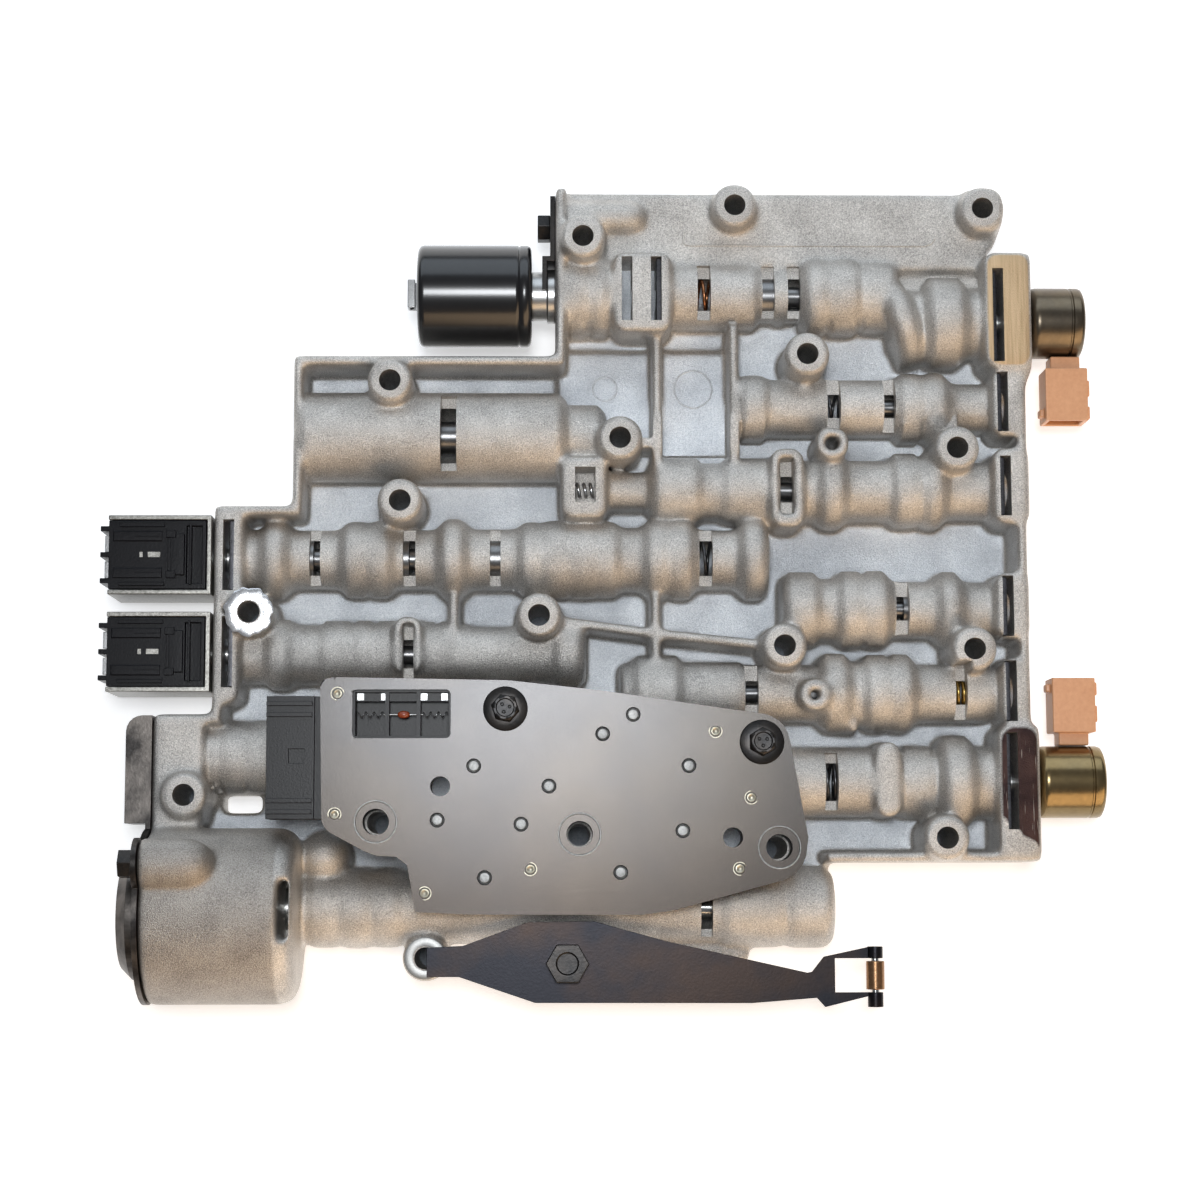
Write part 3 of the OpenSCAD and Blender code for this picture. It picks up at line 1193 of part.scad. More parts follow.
piston_x = acc_left + piston_gap * 4;
module accumulator_piston() {
    groove = piston_floor / 2;
    color([0.72, 0.72, 0.72]) translate([piston_x, acc_y, acc_z]) difference() {
        turned([[0, acc_pin_r + piston_gap], [0, acc_bore_r - piston_gap],
            [groove - seal_r, acc_bore_r - piston_gap], [groove - seal_r, acc_bore_r - 2 * seal_r],
            [groove + seal_r, acc_bore_r - 2 * seal_r], [groove + seal_r, acc_bore_r - piston_gap],
            [piston_len, acc_bore_r - piston_gap], [piston_len, acc_bore_r - piston_gap - wall_t],
            [piston_floor, acc_bore_r - piston_gap - wall_t], [piston_floor, acc_pin_r + piston_gap]]);
    }
}
module accumulator_seal() {
    color([0.09, 0.09, 0.09]) translate([piston_x + piston_floor / 2 - seal_r * 0.9, acc_y, acc_z])
        turned([[0, acc_bore_r - 1.9 * seal_r], [0, acc_bore_r - piston_gap / 2],
            [seal_r * 1.8, acc_bore_r - piston_gap / 2], [seal_r * 1.8, acc_bore_r - 1.9 * seal_r]]);
}
module accumulator_spring() {
    color([0.35, 0.35, 0.36]) translate([0, acc_y, acc_z])
        coil_spring(piston_x + piston_floor + end_gap, acc_right - acc_wall - end_gap,
            acc_spring_r, acc_wire_r, acc_turns);
}
module accumulator_pin() {
    start = acc_left - dish_d + cover_t;
    color([0.78, 0.78, 0.78]) translate([start, acc_y, acc_z]) along_x()
        cylinder(r = acc_pin_r, h = acc_right - acc_wall + pin_seat - start, $fn = small_n);
}

roller_x = at_x(roller_x_share);
roller_y = at_y((fork_share[1] + fork_share[3]) / 2);
roller_z = leaf_z + leaf_t / 2;
curl_r = roller_pin_r + bolt_gap + curl_t;
module detent_spring() {
    top = at_y(leaf_shares[8][1]);
    low = at_y(leaf_shares[10][1]);
    color([0.17, 0.15, 0.15]) difference() {
        union() {
            translate([0, 0, leaf_z]) linear_extrude(leaf_t) polygon(places(leaf_shares));
            translate([roller_x, low, roller_z]) along_y()
                cylinder(r = curl_r, h = top - low, $fn = small_n);
        }
        share_box(fork_share, leaf_z - curl_r, leaf_z + leaf_t + curl_r);
        translate([roller_x, low - cut_over, roller_z]) along_y()
            cylinder(r = roller_pin_r + bolt_gap, h = top - low + 2 * cut_over, $fn = small_n);
        translate([at_x(detent_bolt_share[0]), at_y(detent_bolt_share[1]), leaf_z - cut_over])
            cylinder(r = detent_bolt_r + bolt_gap, h = leaf_t + 2 * cut_over, $fn = small_n);
    }
}
module detent_bolt() {
    color([0.15, 0.14, 0.14])
        translate([at_x(detent_bolt_share[0]), at_y(detent_bolt_share[1]), leaf_z + leaf_t])
            hex_bolt(detent_head_r, detent_head_h, detent_bolt_r, leaf_t + bolt_reach * 0.8);
}
module detent_roller() {
    color([0.5, 0.38, 0.26]) translate([roller_x, roller_y - roller_len / 2, roller_z])
        along_y() difference() {
            cylinder(r = roller_r, h = roller_len, $fn = round_n);
            translate([0, 0, -cut_over])
                cylinder(r = roller_pin_r + roller_gap, h = roller_len + 2 * cut_over, $fn = small_n);
        }
}
module detent_roller_pin() {
    top = at_y(leaf_shares[8][1]);
    low = at_y(leaf_shares[10][1]);
    color([0.4, 0.38, 0.36]) translate([roller_x, low - end_gap, roller_z]) along_y()
        cylinder(r = roller_pin_r, h = top - low + 2 * end_gap, $fn = small_n);
}

dark_wire = [0.25, 0.24, 0.24];
valve_body_casting();
switch_plate();
switch_housing();
switch_seals();
switch_rivets();
switch_terminals();
switch_thermistor();
switch_bolts();
pressure_solenoid_can();
pressure_solenoid_terminal();
pressure_solenoid_nose();
pressure_solenoid_bracket();
bracket_bolt();
shift_frame(BORE_F);  // shift_solenoid_a_frame
shift_coil(BORE_F);  // shift_solenoid_a_coil
shift_nose(BORE_F);  // shift_solenoid_a_nose
shift_frame(BORE_G);  // shift_solenoid_b_frame
shift_coil(BORE_G);  // shift_solenoid_b_coil
shift_nose(BORE_G);  // shift_solenoid_b_nose
shift_solenoid_terminals();
small_can(BORE_J, low_pad_face, clutch_len);  // clutch_solenoid_can
small_connector(BORE_J, at_x(clutch_plug_share), 1);  // clutch_solenoid_connector
small_nose(BORE_J, low_pad_face);  // clutch_solenoid_nose
small_can(BORE_B, pad_face, downshift_len);  // downshift_solenoid_can
small_connector(BORE_B, at_x(downshift_plug_share), -1);  // downshift_solenoid_connector
small_nose(BORE_B, pad_face);  // downshift_solenoid_nose
retainer_clips();
bore_plugs();
accumulator_cover();
accumulator_cover_bolts();
accumulator_piston();
accumulator_seal();
accumulator_spring();
accumulator_pin();
detent_spring();
detent_bolt();
detent_roller();
detent_roller_pin();
manual_valve();
valve(BORE_A, mid_land_shares);  // feed_limit_valve
valve(BORE_B, short_land_shares);  // downshift_control_valve
valve(BORE_C, mid_land_shares);  // sequence_valve
valve(BORE_D, mid_land_shares);  // regulator_valve
relay_valve();
valve(BORE_F, long_land_shares);  // shift_valve_a
valve(BORE_G, mid_land_shares);  // shift_valve_b
valve(BORE_H, mid_land_shares);  // downshift_valve
valve(BORE_I, long_land_shares);  // overrun_valve
valve(BORE_J, mid_land_shares);  // clutch_apply_valve
shuttle_valve();
valve_spring(BORE_A, radius(BORE_A), dark_wire);  // feed_limit_spring
valve_spring(BORE_B, radius(BORE_B), dark_wire);  // downshift_control_spring
valve_spring(BORE_C, radius(BORE_C), dark_wire);  // sequence_spring
valve_spring(BORE_D, radius(BORE_D), dark_wire);  // regulator_spring
valve_spring(BORE_E, pilot_r, dark_wire);  // relay_spring
valve_spring(BORE_F, radius(BORE_F), dark_wire);  // shift_spring_a
valve_spring(BORE_G, radius(BORE_G), dark_wire);  // shift_spring_b
valve_spring(BORE_H, radius(BORE_H), dark_wire);  // downshift_spring
valve_spring(BORE_I, radius(BORE_I), [0.7, 0.55, 0.2]);  // overrun_spring
valve_spring(BORE_J, radius(BORE_J), dark_wire);  // clutch_apply_spring
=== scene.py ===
"""Valve body of a four-speed automatic transmission, lying on its machined face.
The frame gives each piece its place; X runs along the bores and Z up."""
import json
import math

import bmesh
import bpy
import numpy as np
from mathutils import Matrix, Vector


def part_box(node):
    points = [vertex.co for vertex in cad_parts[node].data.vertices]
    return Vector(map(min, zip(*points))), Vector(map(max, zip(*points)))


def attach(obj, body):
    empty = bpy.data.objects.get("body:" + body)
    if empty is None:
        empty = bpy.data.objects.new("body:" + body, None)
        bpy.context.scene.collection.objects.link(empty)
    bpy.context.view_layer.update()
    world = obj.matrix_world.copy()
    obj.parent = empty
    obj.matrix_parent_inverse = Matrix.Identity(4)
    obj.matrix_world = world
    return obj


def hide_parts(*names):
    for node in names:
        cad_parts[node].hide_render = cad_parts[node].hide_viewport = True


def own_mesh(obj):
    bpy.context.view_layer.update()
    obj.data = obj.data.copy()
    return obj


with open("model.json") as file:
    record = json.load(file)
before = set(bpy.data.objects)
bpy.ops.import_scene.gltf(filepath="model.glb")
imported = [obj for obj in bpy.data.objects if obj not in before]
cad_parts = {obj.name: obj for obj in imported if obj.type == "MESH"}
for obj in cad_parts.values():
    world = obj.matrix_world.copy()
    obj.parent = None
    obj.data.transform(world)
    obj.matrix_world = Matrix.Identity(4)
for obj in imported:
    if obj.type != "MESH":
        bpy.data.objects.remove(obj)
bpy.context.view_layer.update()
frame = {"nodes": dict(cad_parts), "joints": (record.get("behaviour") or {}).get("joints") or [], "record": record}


# ---- The casting -----------------------------------------------------------
# One aluminium die casting: rows of bead-shaped lobes round the valve bores on
# a thin floor inside a rim. Its corners are filled with cast fillets, its outer
# edges are only eased, and the bores, slots, bolt holes and faces are machined.
BODY_LENGTH, BODY_WIDTH = 280.0, 254.0
BORE_AXIS = 20.0
ROWS = {  # place across the body as a share of its width, bore radius in mm
    "a": (0.4106, 6.0), "b": (0.3772, 6.6), "c": (0.2685, 4.8), "d": (0.2303, 9.3),
    "e": (0.163, 5.1), "f": (0.0764, 6.3), "g": (-0.0425, 5.4), "h": (0.0138, 4.8),
    "i": (-0.0909, 4.8), "j": (-0.2008, 6.6), "k": (-0.1689, 6.3), "l": (-0.3535, 7.2),
}
BORES = {  # ends along the body as shares of its length
    "a": (0.01, 0.388), "b": (0.41, 0.56), "c": (0.235, 0.56), "d": (-0.29, 0.06), "e": (0.155, 0.565),
    "f": (-0.37, 0.245), "g": (-0.37, 0.04), "h": (0.285, 0.56), "i": (0.105, 0.56), "j": (0.262, 0.56),
    "k": (-0.44, -0.262), "l": (-0.288, 0.34),
}
WINDOWS = [  # row, ends along the body as shares of its length, outer radius of the tube there in mm
    ("a", 0.179, 0.194, 10.4), ("a", 0.253, 0.267, 8.2), ("a", 0.282, 0.296, 8.2),
    ("c", 0.325, 0.34, 9.0), ("c", 0.389, 0.402, 9.0), ("d", -0.1105, -0.0925, 14.2),
    ("e", 0.27, 0.285, 9.8), ("f", -0.256, -0.244, 9.2), ("f", -0.152, -0.138, 9.4),
    ("f", -0.055, -0.043, 9.6), ("f", 0.179, 0.194, 9.4), ("g", -0.151, -0.139, 10.7),
    ("h", 0.399, 0.414, 8.8), ("i", 0.229, 0.244, 9.0), ("i", 0.464, 0.477, 9.1),
    ("j", 0.317, 0.331, 10.9), ("l", -0.279, -0.267, 10.9), ("l", 0.178, 0.191, 11.2),
]
WINDOW_HALF, WIDE_WINDOW_HALF, LEDGE = 8.84, 11.96, 23.0
SLOTS = [  # row, place along the body as a share of its length, length and height of its block in mm
    ("a", 0.132, 20.6, 32.0), ("a", 0.099, 20.6, 32.0), ("b", 0.5175, 30.0, 33.2), ("c", 0.521, 19.0, 32.0),
    ("e", 0.5225, 19.0, 32.0), ("f", -0.3445, 22.2, 32.0), ("g", -0.3445, 22.2, 32.0),
    ("h", 0.5225, 19.0, 32.0), ("i", 0.524, 19.0, 32.0), ("j", 0.5225, 30.0, 33.2),
]
SLOT_WIDTH = 3.4
SPRING_POCKET = (11.2, 36.07, 17.64, 47.24)
CASE_HOLES = np.array([
    [0, 0], [0.049, 0.472], [-0.166, 0.29], [-0.154, 0.141], [0.3, 0.324], [0.09, 0.219],
    [0.466, 0.207], [-0.319, 0.004], [0.271, -0.037], [0.481, -0.041], [-0.387, -0.217],
    [0.447, -0.27], [-0.175, -0.251], [0.044, -0.266], [0.259, -0.282], [0.221, 0.516],
    [0.502, 0.513], [-0.124, -0.413],
]) * (BODY_LENGTH, BODY_WIDTH)
SEAT_HEIGHTS = np.r_[np.full(15, 37.0), 33.0, 33.0, 30.5]
HOLE_RADIUS = 3.4


def srgb(*c):
    """Linear colour from 0-255 screen values."""
    c = np.asarray(c, float) / 255
    return (*np.where(c <= 0.04045, c / 12.92, ((c + 0.055) / 1.055) ** 2.4), 1.0)


def merged_copy(node, name):
    """Copy of a CAD node with its doubles merged."""
    work = bmesh.new()
    work.from_mesh(frame["nodes"][node].data)
    bmesh.ops.remove_doubles(work, verts=work.verts, dist=1e-6)
    mesh = bpy.data.meshes.new(name)
    work.to_mesh(mesh)
    work.free()
    obj = bpy.data.objects.new(name, mesh)
    bpy.context.scene.collection.objects.link(obj)
    return obj


def evaluated_mesh(obj):
    """The mesh of an object with its modifiers applied."""
    graph = bpy.context.evaluated_depsgraph_get()
    return bpy.data.meshes.new_from_object(obj.evaluated_get(graph))


def coordinates(mesh, kind="co"):
    flat = np.empty(len(mesh.vertices) * 3, np.float32)
    mesh.vertices.foreach_get(kind, flat)
    return flat.reshape(-1, 3)


def grid_faces(nu, nv, wrap_u=False, wrap_v=False):
    """Quads of an nu by nv grid of points, joined round where wrapped."""
    i, j = np.meshgrid(np.arange(nu if wrap_u else nu - 1), np.arange(nv if wrap_v else nv - 1),
                       indexing="ij")
    k, m = (i + 1) % nu, (j + 1) % nv
    return np.stack([i * nv + j, k * nv + j, k * nv + m, i * nv + m], -1).reshape(-1, 4)


def turned_points(profile, count, axis, centre, stretch=1.0):
    """Ring of points for each profile point: (along, radius) turned round an
    axis, 'x', 'y' or 'z', through a centre; point = centre + along*axis
    + stretch*radius*(cos t, sin t) across it."""
    profile = np.asarray(profile, float)
    t = np.linspace(0, 2 * np.pi, count, endpoint=False)
    along = np.repeat(profile[:, :1], count, 1)
    c, s = stretch * profile[:, 1:] * np.cos(t), stretch * profile[:, 1:] * np.sin(t)
    order = {"x": (along, c, s), "y": (s, along, c), "z": (c, s, along)}[axis]
    return np.stack(order, -1) + np.asarray(centre, float)


def joined(parts):
    """Points and faces of several grids as one: parts are (points, faces)."""
    points, faces, start = [], [], 0
    for p, f in parts:
        p = np.asarray(p).reshape(-1, 3)
        points.append(p)
        faces.append(np.asarray(f) + start)
        start += len(p)
    return np.concatenate(points), np.concatenate(faces)


def box_shell(x0, y0, z0, x1, y1, z1):
    """Closed box between two corners, as a grid of four-point rings."""
    ring = np.array([[x0, y0], [x1, y0], [x1, y1], [x0, y1]], float)
    middle = np.repeat(ring.mean(0)[None], 4, 0)
    levels = [(middle, z0), (ring, z0), (ring, z1), (middle, z1)]
    return np.array([np.c_[r, np.full(4, z)] for r, z in levels]), grid_faces(4, 4, wrap_v=True)


def rod_shell(axis, start, end, radius, centre, count=56):
    """Closed round rod along an axis."""
    profile = [(start, 0), (start, radius), (end, radius), (end, 0)]
    return turned_points(profile, count, axis, centre), grid_faces(4, count, wrap_v=True)


def shell_object(name, shells):
    """Object of closed shells given in mm, with its normals outwards."""
    points, faces = joined(shells)
    mesh = bpy.data.meshes.new(name)
    mesh.from_pydata((points / 1000).tolist(), [], faces.tolist())
    work = bmesh.new()
    work.from_mesh(mesh)
    bmesh.ops.remove_doubles(work, verts=work.verts, dist=1e-7)
    bmesh.ops.recalc_face_normals(work, faces=work.faces)
    work.to_mesh(mesh)
    work.free()
    obj = bpy.data.objects.new(name, mesh)
    bpy.context.scene.collection.objects.link(obj)
    return obj


def rows_y(row):
    return ROWS[row][0] * BODY_WIDTH


def window_shells():
    """Machined windows, slots and the spring pocket, cut from above."""
    shells = []
    for row, x0, x1, _ in WINDOWS:
        half = WIDE_WINDOW_HALF if row == "d" else WINDOW_HALF
        shells.append(box_shell(x0 * BODY_LENGTH, rows_y(row) - half, LEDGE, x1 * BODY_LENGTH,
                                rows_y(row) + half, 40))
    for row, x, length, _ in SLOTS:
        shells.append(box_shell(x * BODY_LENGTH - SLOT_WIDTH / 2, rows_y(row) - length / 2,
                                BORE_AXIS - ROWS[row][1] - 0.8,
                                x * BODY_LENGTH + SLOT_WIDTH / 2, rows_y(row) + length / 2, 40))
    x0, y0, x1, y1 = SPRING_POCKET
    shells.append(box_shell(x0, y0, BORE_AXIS - 0.775, x1, y1, 40))
    return shells


def filler_shells():
    """What the machining takes away from the raw casting: tubes at the windows,
    blocks at the slots and solid bosses."""
    shells = []
    for row, x0, x1, radius in WINDOWS:
        shells.append(rod_shell("x", x0 * BODY_LENGTH - 0.3, x1 * BODY_LENGTH + 0.3, radius,
                                (0, rows_y(row), BORE_AXIS)))
    for row, x, length, top in SLOTS:
        shells.append(box_shell(x * BODY_LENGTH - SLOT_WIDTH / 2 - 0.2, rows_y(row) - length / 2, 12.5,
                                x * BODY_LENGTH + SLOT_WIDTH / 2 + 0.2, rows_y(row) + length / 2, top))
    x0, y0, x1, y1 = SPRING_POCKET
    shells.append(box_shell(x0 - 0.2, y0 - 0.2, 16, x1 + 0.2, y1 + 0.2, 32))
    for (x, y), top in zip(CASE_HOLES, SEAT_HEIGHTS):
        shells.append(rod_shell("z", 0, top, HOLE_RADIUS + 0.4, (x, y, 0)))
    return shells


def softness(p):
    """How freely each point of the casting may move: 1 on cast skin, 0 on the
    mating face and in the bores. p is in mm."""
    free = np.ones(len(p))
    for share, radius in ROWS.values():
        reach = np.hypot(p[:, 1] - share * BODY_WIDTH, p[:, 2] - BORE_AXIS)
        free[reach < radius + 0.3] = 0.05
    free[p[:, 2] < 0.9] = 0
    for x, y in CASE_HOLES:
        free[(np.hypot(p[:, 0] - x, p[:, 1] - y) < 6.0) & (p[:, 2] > 29)] *= 0.1
    return free


def cast_skin(mesh, rounds, most_in):
    """Diffuses the points over their neighbours. Movement outwards, which fills
    corners, is kept; movement inwards, which eases edges, is held to most_in mm."""
    start = coordinates(mesh).astype(np.float64)
    normal = coordinates(mesh, "normal")
    edge = np.empty(len(mesh.edges) * 2, np.int32)
    mesh.edges.foreach_get("vertices", edge)
    a, b = edge.reshape(-1, 2).T
    n = len(start)
    count = np.bincount(a, minlength=n) + np.bincount(b, minlength=n)
    free = softness(start * 1000)[:, None]

    def relax(p, strength):
        around = np.stack([np.bincount(a, p[b, i], n) + np.bincount(b, p[a, i], n)
                           for i in range(3)], 1) / count[:, None]
        return p + strength * free * (around - p)

    p = start
    for _ in range(rounds):
        p = relax(p, 0.5)
    move = p - start
    outwards = (move * normal).sum(1)
    size = np.linalg.norm(move, axis=1) + 1e-12
    hold = np.where(outwards < 0, np.minimum(1, most_in / 1000 / size), 1)
    p = start + move * hold[:, None]
    for _ in range(3):
        p = relax(p, 0.4)
    mesh.vertices.foreach_set("co", p.astype(np.float32).ravel())
    mesh.update()


VOXEL = 0.00062
FILL_ROUNDS, EDGE_EASE, CASTING_FACES = 24, 1.15, 98000
raw = shell_object("raw_fillers", filler_shells())
raw_mesh = merged_copy("valve_body_casting", "casting_guide")
work = bmesh.new()
work.from_mesh(raw_mesh.data)
work.from_mesh(raw.data)
work.to_mesh(raw_mesh.data)
work.free()
casting = bpy.data.objects.new("casting", raw_mesh.data.copy())
bpy.context.scene.collection.objects.link(casting)
remesh = casting.modifiers.new("skin", "REMESH")
remesh.mode = "VOXEL"
remesh.voxel_size = VOXEL
wrap = casting.modifiers.new("true_surface", "SHRINKWRAP")
wrap.target = raw_mesh
wrap.wrap_method = "NEAREST_SURFACEPOINT"
casting_mesh = evaluated_mesh(casting)
casting.modifiers.clear()
casting.data = casting_mesh
cast_skin(casting_mesh, FILL_ROUNDS, EDGE_EASE)
thin = casting.modifiers.new("thin", "DECIMATE")
thin.ratio = CASTING_FACES / len(casting_mesh.polygons)
cutters = [
    shell_object("window_cutter", window_shells()),
    shell_object("bore_cutter", [rod_shell("x", a * BODY_LENGTH, b * BODY_LENGTH, ROWS[row][1],
                                           (0, rows_y(row), BORE_AXIS))
                                 for row, (a, b) in BORES.items()]),
    shell_object("hole_cutter", [rod_shell("z", -1, 45, HOLE_RADIUS, (x, y, 0)) for x, y in CASE_HOLES]),
]
for cutter in cutters:
    cut = casting.modifiers.new(cutter.name, "BOOLEAN")
    cut.operation = "DIFFERENCE"
    cut.solver = "MANIFOLD"
    cut.object = cutter
casting.data = evaluated_mesh(casting)
casting.modifiers.clear()
for spare in (raw, raw_mesh, *cutters):
    bpy.data.objects.remove(spare)
casting.data.name = "casting"
casting.data.shade_smooth()
casting.data.set_sharp_from_angle(angle=math.radians(42))


def node_group(name, inputs, outputs):
    """Empty shader group with named inputs and outputs."""
    tree = bpy.data.node_groups.new(name, "ShaderNodeTree")
    for label, kind, value in inputs:
        socket = tree.interface.new_socket(name=label, in_out="INPUT", socket_type=kind)
        socket.default_value = value
    for label, kind in outputs:
        tree.interface.new_socket(name=label, in_out="OUTPUT", socket_type=kind)
    return tree, tree.nodes.new("NodeGroupInput"), tree.nodes.new("NodeGroupOutput")


def noise(tree, vector, scale, detail=3.0, rough=0.55):
    node = tree.nodes.new("ShaderNodeTexNoise")
    node.inputs["Detail"].default_value = detail
    node.inputs["Roughness"].default_value = rough
    tree.links.new(vector, node.inputs["Vector"])
    if isinstance(scale, (int, float)):
        node.inputs["Scale"].default_value = scale
    else:
        tree.links.new(scale, node.inputs["Scale"])
    return node.outputs["Fac"]


def spread(tree, value, low, high):
    """Clamped ramp of a value from low to high onto 0 to 1."""
    node = tree.nodes.new("ShaderNodeMapRange")
    tree.links.new(value, node.inputs["Value"])
    node.inputs["From Min"].default_value = low
    node.inputs["From Max"].default_value = high
    return node.outputs["Result"]


def sums(tree, how, a, b):
    node = tree.nodes.new("ShaderNodeMath")
    node.operation = how
    for socket, value in zip(node.inputs, (a, b)):
        if isinstance(value, (int, float)):
            socket.default_value = value
        else:
            tree.links.new(value, socket)
    return node.outputs[0]


def mixed(tree, amount, a, b, how="MIX"):
    """Mix of two colours by a mask."""
    node = tree.nodes.new("ShaderNodeMix")
    node.data_type = "RGBA"
    node.blend_type = how
    for index, value in ((0, amount), (6, a), (7, b)):
        if isinstance(value, (int, float, tuple)):
            node.inputs[index].default_value = value
        else:
            tree.links.new(value, node.inputs[index])
    return node.outputs[2]


def grain_group():
    """Fine metal grain: colour between dark and light specks, and their height."""
    tree, into, out = node_group("metal_grain", [
        ("Vector", "NodeSocketVector", (0, 0, 0)), ("Scale", "NodeSocketFloat", 1800.0),
        ("Dark", "NodeSocketColor", (0.2, 0.2, 0.2, 1)), ("Light", "NodeSocketColor", (0.8, 0.8, 0.8, 1)),
        ("Contrast", "NodeSocketFloat", 1.0),
    ], [("Color", "NodeSocketColor"), ("Height", "NodeSocketFloat")])
    speck = noise(tree, into.outputs["Vector"], into.outputs["Scale"], 2.0, 0.7)
    patch = noise(tree, into.outputs["Vector"], 90.0, 3.0)
    whole = sums(tree, "ADD", sums(tree, "MULTIPLY", sums(tree, "SUBTRACT", speck, 0.5),
                                   into.outputs["Contrast"]),
                 sums(tree, "MULTIPLY", sums(tree, "SUBTRACT", patch, 0.5), 0.35))
    tree.links.new(mixed(tree, spread(tree, whole, -0.28, 0.28), into.outputs["Dark"], into.outputs["Light"]),
                   out.inputs["Color"])
    tree.links.new(speck, out.inputs["Height"])
    return tree


GRAIN = grain_group()


def finish(name, rough, metallic, dark, light, scale=1800.0, contrast=1.0, bump=0.25, depth=0.0002, coat=0.0):
    """Material of one finish: grain colour and grain bump on Object coordinates."""
    mat = bpy.data.materials.new(name)
    mat.use_nodes = True
    tree = mat.node_tree
    shader = tree.nodes["Principled BSDF"]
    place = tree.nodes.new("ShaderNodeTexCoord")
    grain = tree.nodes.new("ShaderNodeGroup")
    grain.node_tree = GRAIN
    tree.links.new(place.outputs["Object"], grain.inputs["Vector"])
    grain.inputs["Scale"].default_value = scale
    grain.inputs["Dark"].default_value = dark
    grain.inputs["Light"].default_value = light
    grain.inputs["Contrast"].default_value = contrast
    tree.links.new(grain.outputs["Color"], shader.inputs["Base Color"])
    ridge = tree.nodes.new("ShaderNodeBump")
    ridge.inputs["Strength"].default_value = bump
    ridge.inputs["Distance"].default_value = depth
    tree.links.new(grain.outputs["Height"], ridge.inputs["Height"])
    tree.links.new(ridge.outputs["Normal"], shader.inputs["Normal"])
    shader.inputs["Roughness"].default_value = rough
    shader.inputs["Metallic"].default_value = metallic
    shader.inputs["Coat Weight"].default_value = coat
    shader.inputs["Coat Roughness"].default_value = 0.12
    mat["grain"] = grain.name
    return mat


def within(tree, value, low, high, soft=0.0004):
    """1 where a value lies between two limits, with soft ends."""
    return sums(tree, "MULTIPLY", spread(tree, value, low - soft, low + soft),
                spread(tree, value, high + soft, high - soft))


# The floor between the rows gets a painted cool sheen and is smoother; the upper
# solenoid pad is milled and coloured tan, the lower one dark brown with light scratches
# above a slanting edge, and the accumulator's drum is darkened with painted shade.
cast_metal = finish("cast_aluminium", 0.42, 0.82, srgb(134, 130, 126), srgb(240, 236, 230),
                    scale=2700.0, contrast=1.1, bump=0.8, depth=0.0003)
tree = cast_metal.node_tree
shader = tree.nodes["Principled BSDF"]
place = tree.nodes["Texture Coordinate"].outputs["Object"]
where = tree.nodes.new("ShaderNodeSeparateXYZ")
tree.links.new(place, where.inputs[0])
x, y, z = where.outputs
facing = tree.nodes.new("ShaderNodeNewGeometry")
lean = tree.nodes.new("ShaderNodeSeparateXYZ")
tree.links.new(facing.outputs["Normal"], lean.inputs[0])
floor_mask = sums(tree, "MULTIPLY", spread(tree, z, 0.0172, 0.0150),
                  spread(tree, lean.outputs["Z"], 0.75, 0.97))
# painted sheen: upward faces of the floor between the rows are coloured bluish white, lighter than the cast skin,
# in place of the cool light they reflect
sparkle = mixed(tree, spread(tree, noise(tree, place, 3200.0, 1.0), 0.3, 0.7), srgb(206, 212, 218),
                srgb(246, 249, 252))
cloud = mixed(tree, spread(tree, noise(tree, place, 55.0, 2.0), 0.35, 0.65), srgb(222, 223, 225),
              srgb(255, 255, 255))
painted_floor_sheen = mixed(tree, 1.0, sparkle, cloud, "MULTIPLY")
# The upper pad top is coloured tan with streaks, the lower one dark brown with light scratches beyond a slanting
# edge
pad = sums(tree, "MULTIPLY", within(tree, x, 0.1398, 0.16), spread(tree, z, 0.0327, 0.0330))
upper_pad = sums(tree, "MULTIPLY", pad, within(tree, y, 0.0795, 0.118))
slant = sums(tree, "ADD", y, sums(tree, "MULTIPLY", x, 0.8))
lower_pad = sums(tree, "MULTIPLY", sums(tree, "MULTIPLY", pad, within(tree, y, -0.075, -0.0335)),
                 spread(tree, sums(tree, "ADD", slant, sums(tree, "MULTIPLY", noise(tree, place, 260.0),
                                                            0.004)),
                        0.0535, 0.0545))
stretched = tree.nodes.new("ShaderNodeMapping")
stretched.inputs["Rotation"].default_value = (0, 0, 0.9)
stretched.inputs["Scale"].default_value = (3.0, 0.12, 1.0)
tree.links.new(place, stretched.inputs["Vector"])
scratch = spread(tree, noise(tree, stretched.outputs["Vector"], 900.0, 2.0), 0.66, 0.72)
tan_pad_tone = mixed(tree, spread(tree, noise(tree, stretched.outputs["Vector"], 420.0), 0.3, 0.7),
               srgb(188, 160, 124), srgb(218, 192, 156))
dark_pad_tone = mixed(tree, scratch, mixed(tree, spread(tree, noise(tree, place, 110.0), 0.35, 0.65),
                                     srgb(50, 36, 36), srgb(78, 58, 54)), srgb(170, 160, 152))
grain_and_drum_shade = tree.nodes[cast_metal["grain"]].outputs["Color"]
# painted shade: the cast colour is multiplied down to about 84 % at the front left corner, over the accumulator's
# drum
painted_drum_shade = sums(tree, "MULTIPLY", spread(tree, x, -0.0785, -0.0795), spread(tree, y, -0.068, -0.072))
grain_and_drum_shade = mixed(tree, painted_drum_shade, grain_and_drum_shade, mixed(tree, 1.0, grain_and_drum_shade, srgb(214, 211, 208),
                                                     "MULTIPLY"))
colour = mixed(tree, lower_pad, mixed(tree, upper_pad, mixed(tree, floor_mask, grain_and_drum_shade, painted_floor_sheen),
                                      tan_pad_tone),
               dark_pad_tone)
tree.links.new(colour, shader.inputs["Base Color"])
smooth = sums(tree, "ADD", sums(tree, "MULTIPLY", floor_mask, 0.03), sums(tree, "MULTIPLY", lower_pad, 0.08))
tree.links.new(sums(tree, "SUBTRACT", 0.44, smooth), shader.inputs["Roughness"])
ridge = next(n for n in tree.nodes if n.type == "BUMP")
wave = tree.nodes.new("ShaderNodeBump")
wave.inputs["Strength"].default_value = 0.6
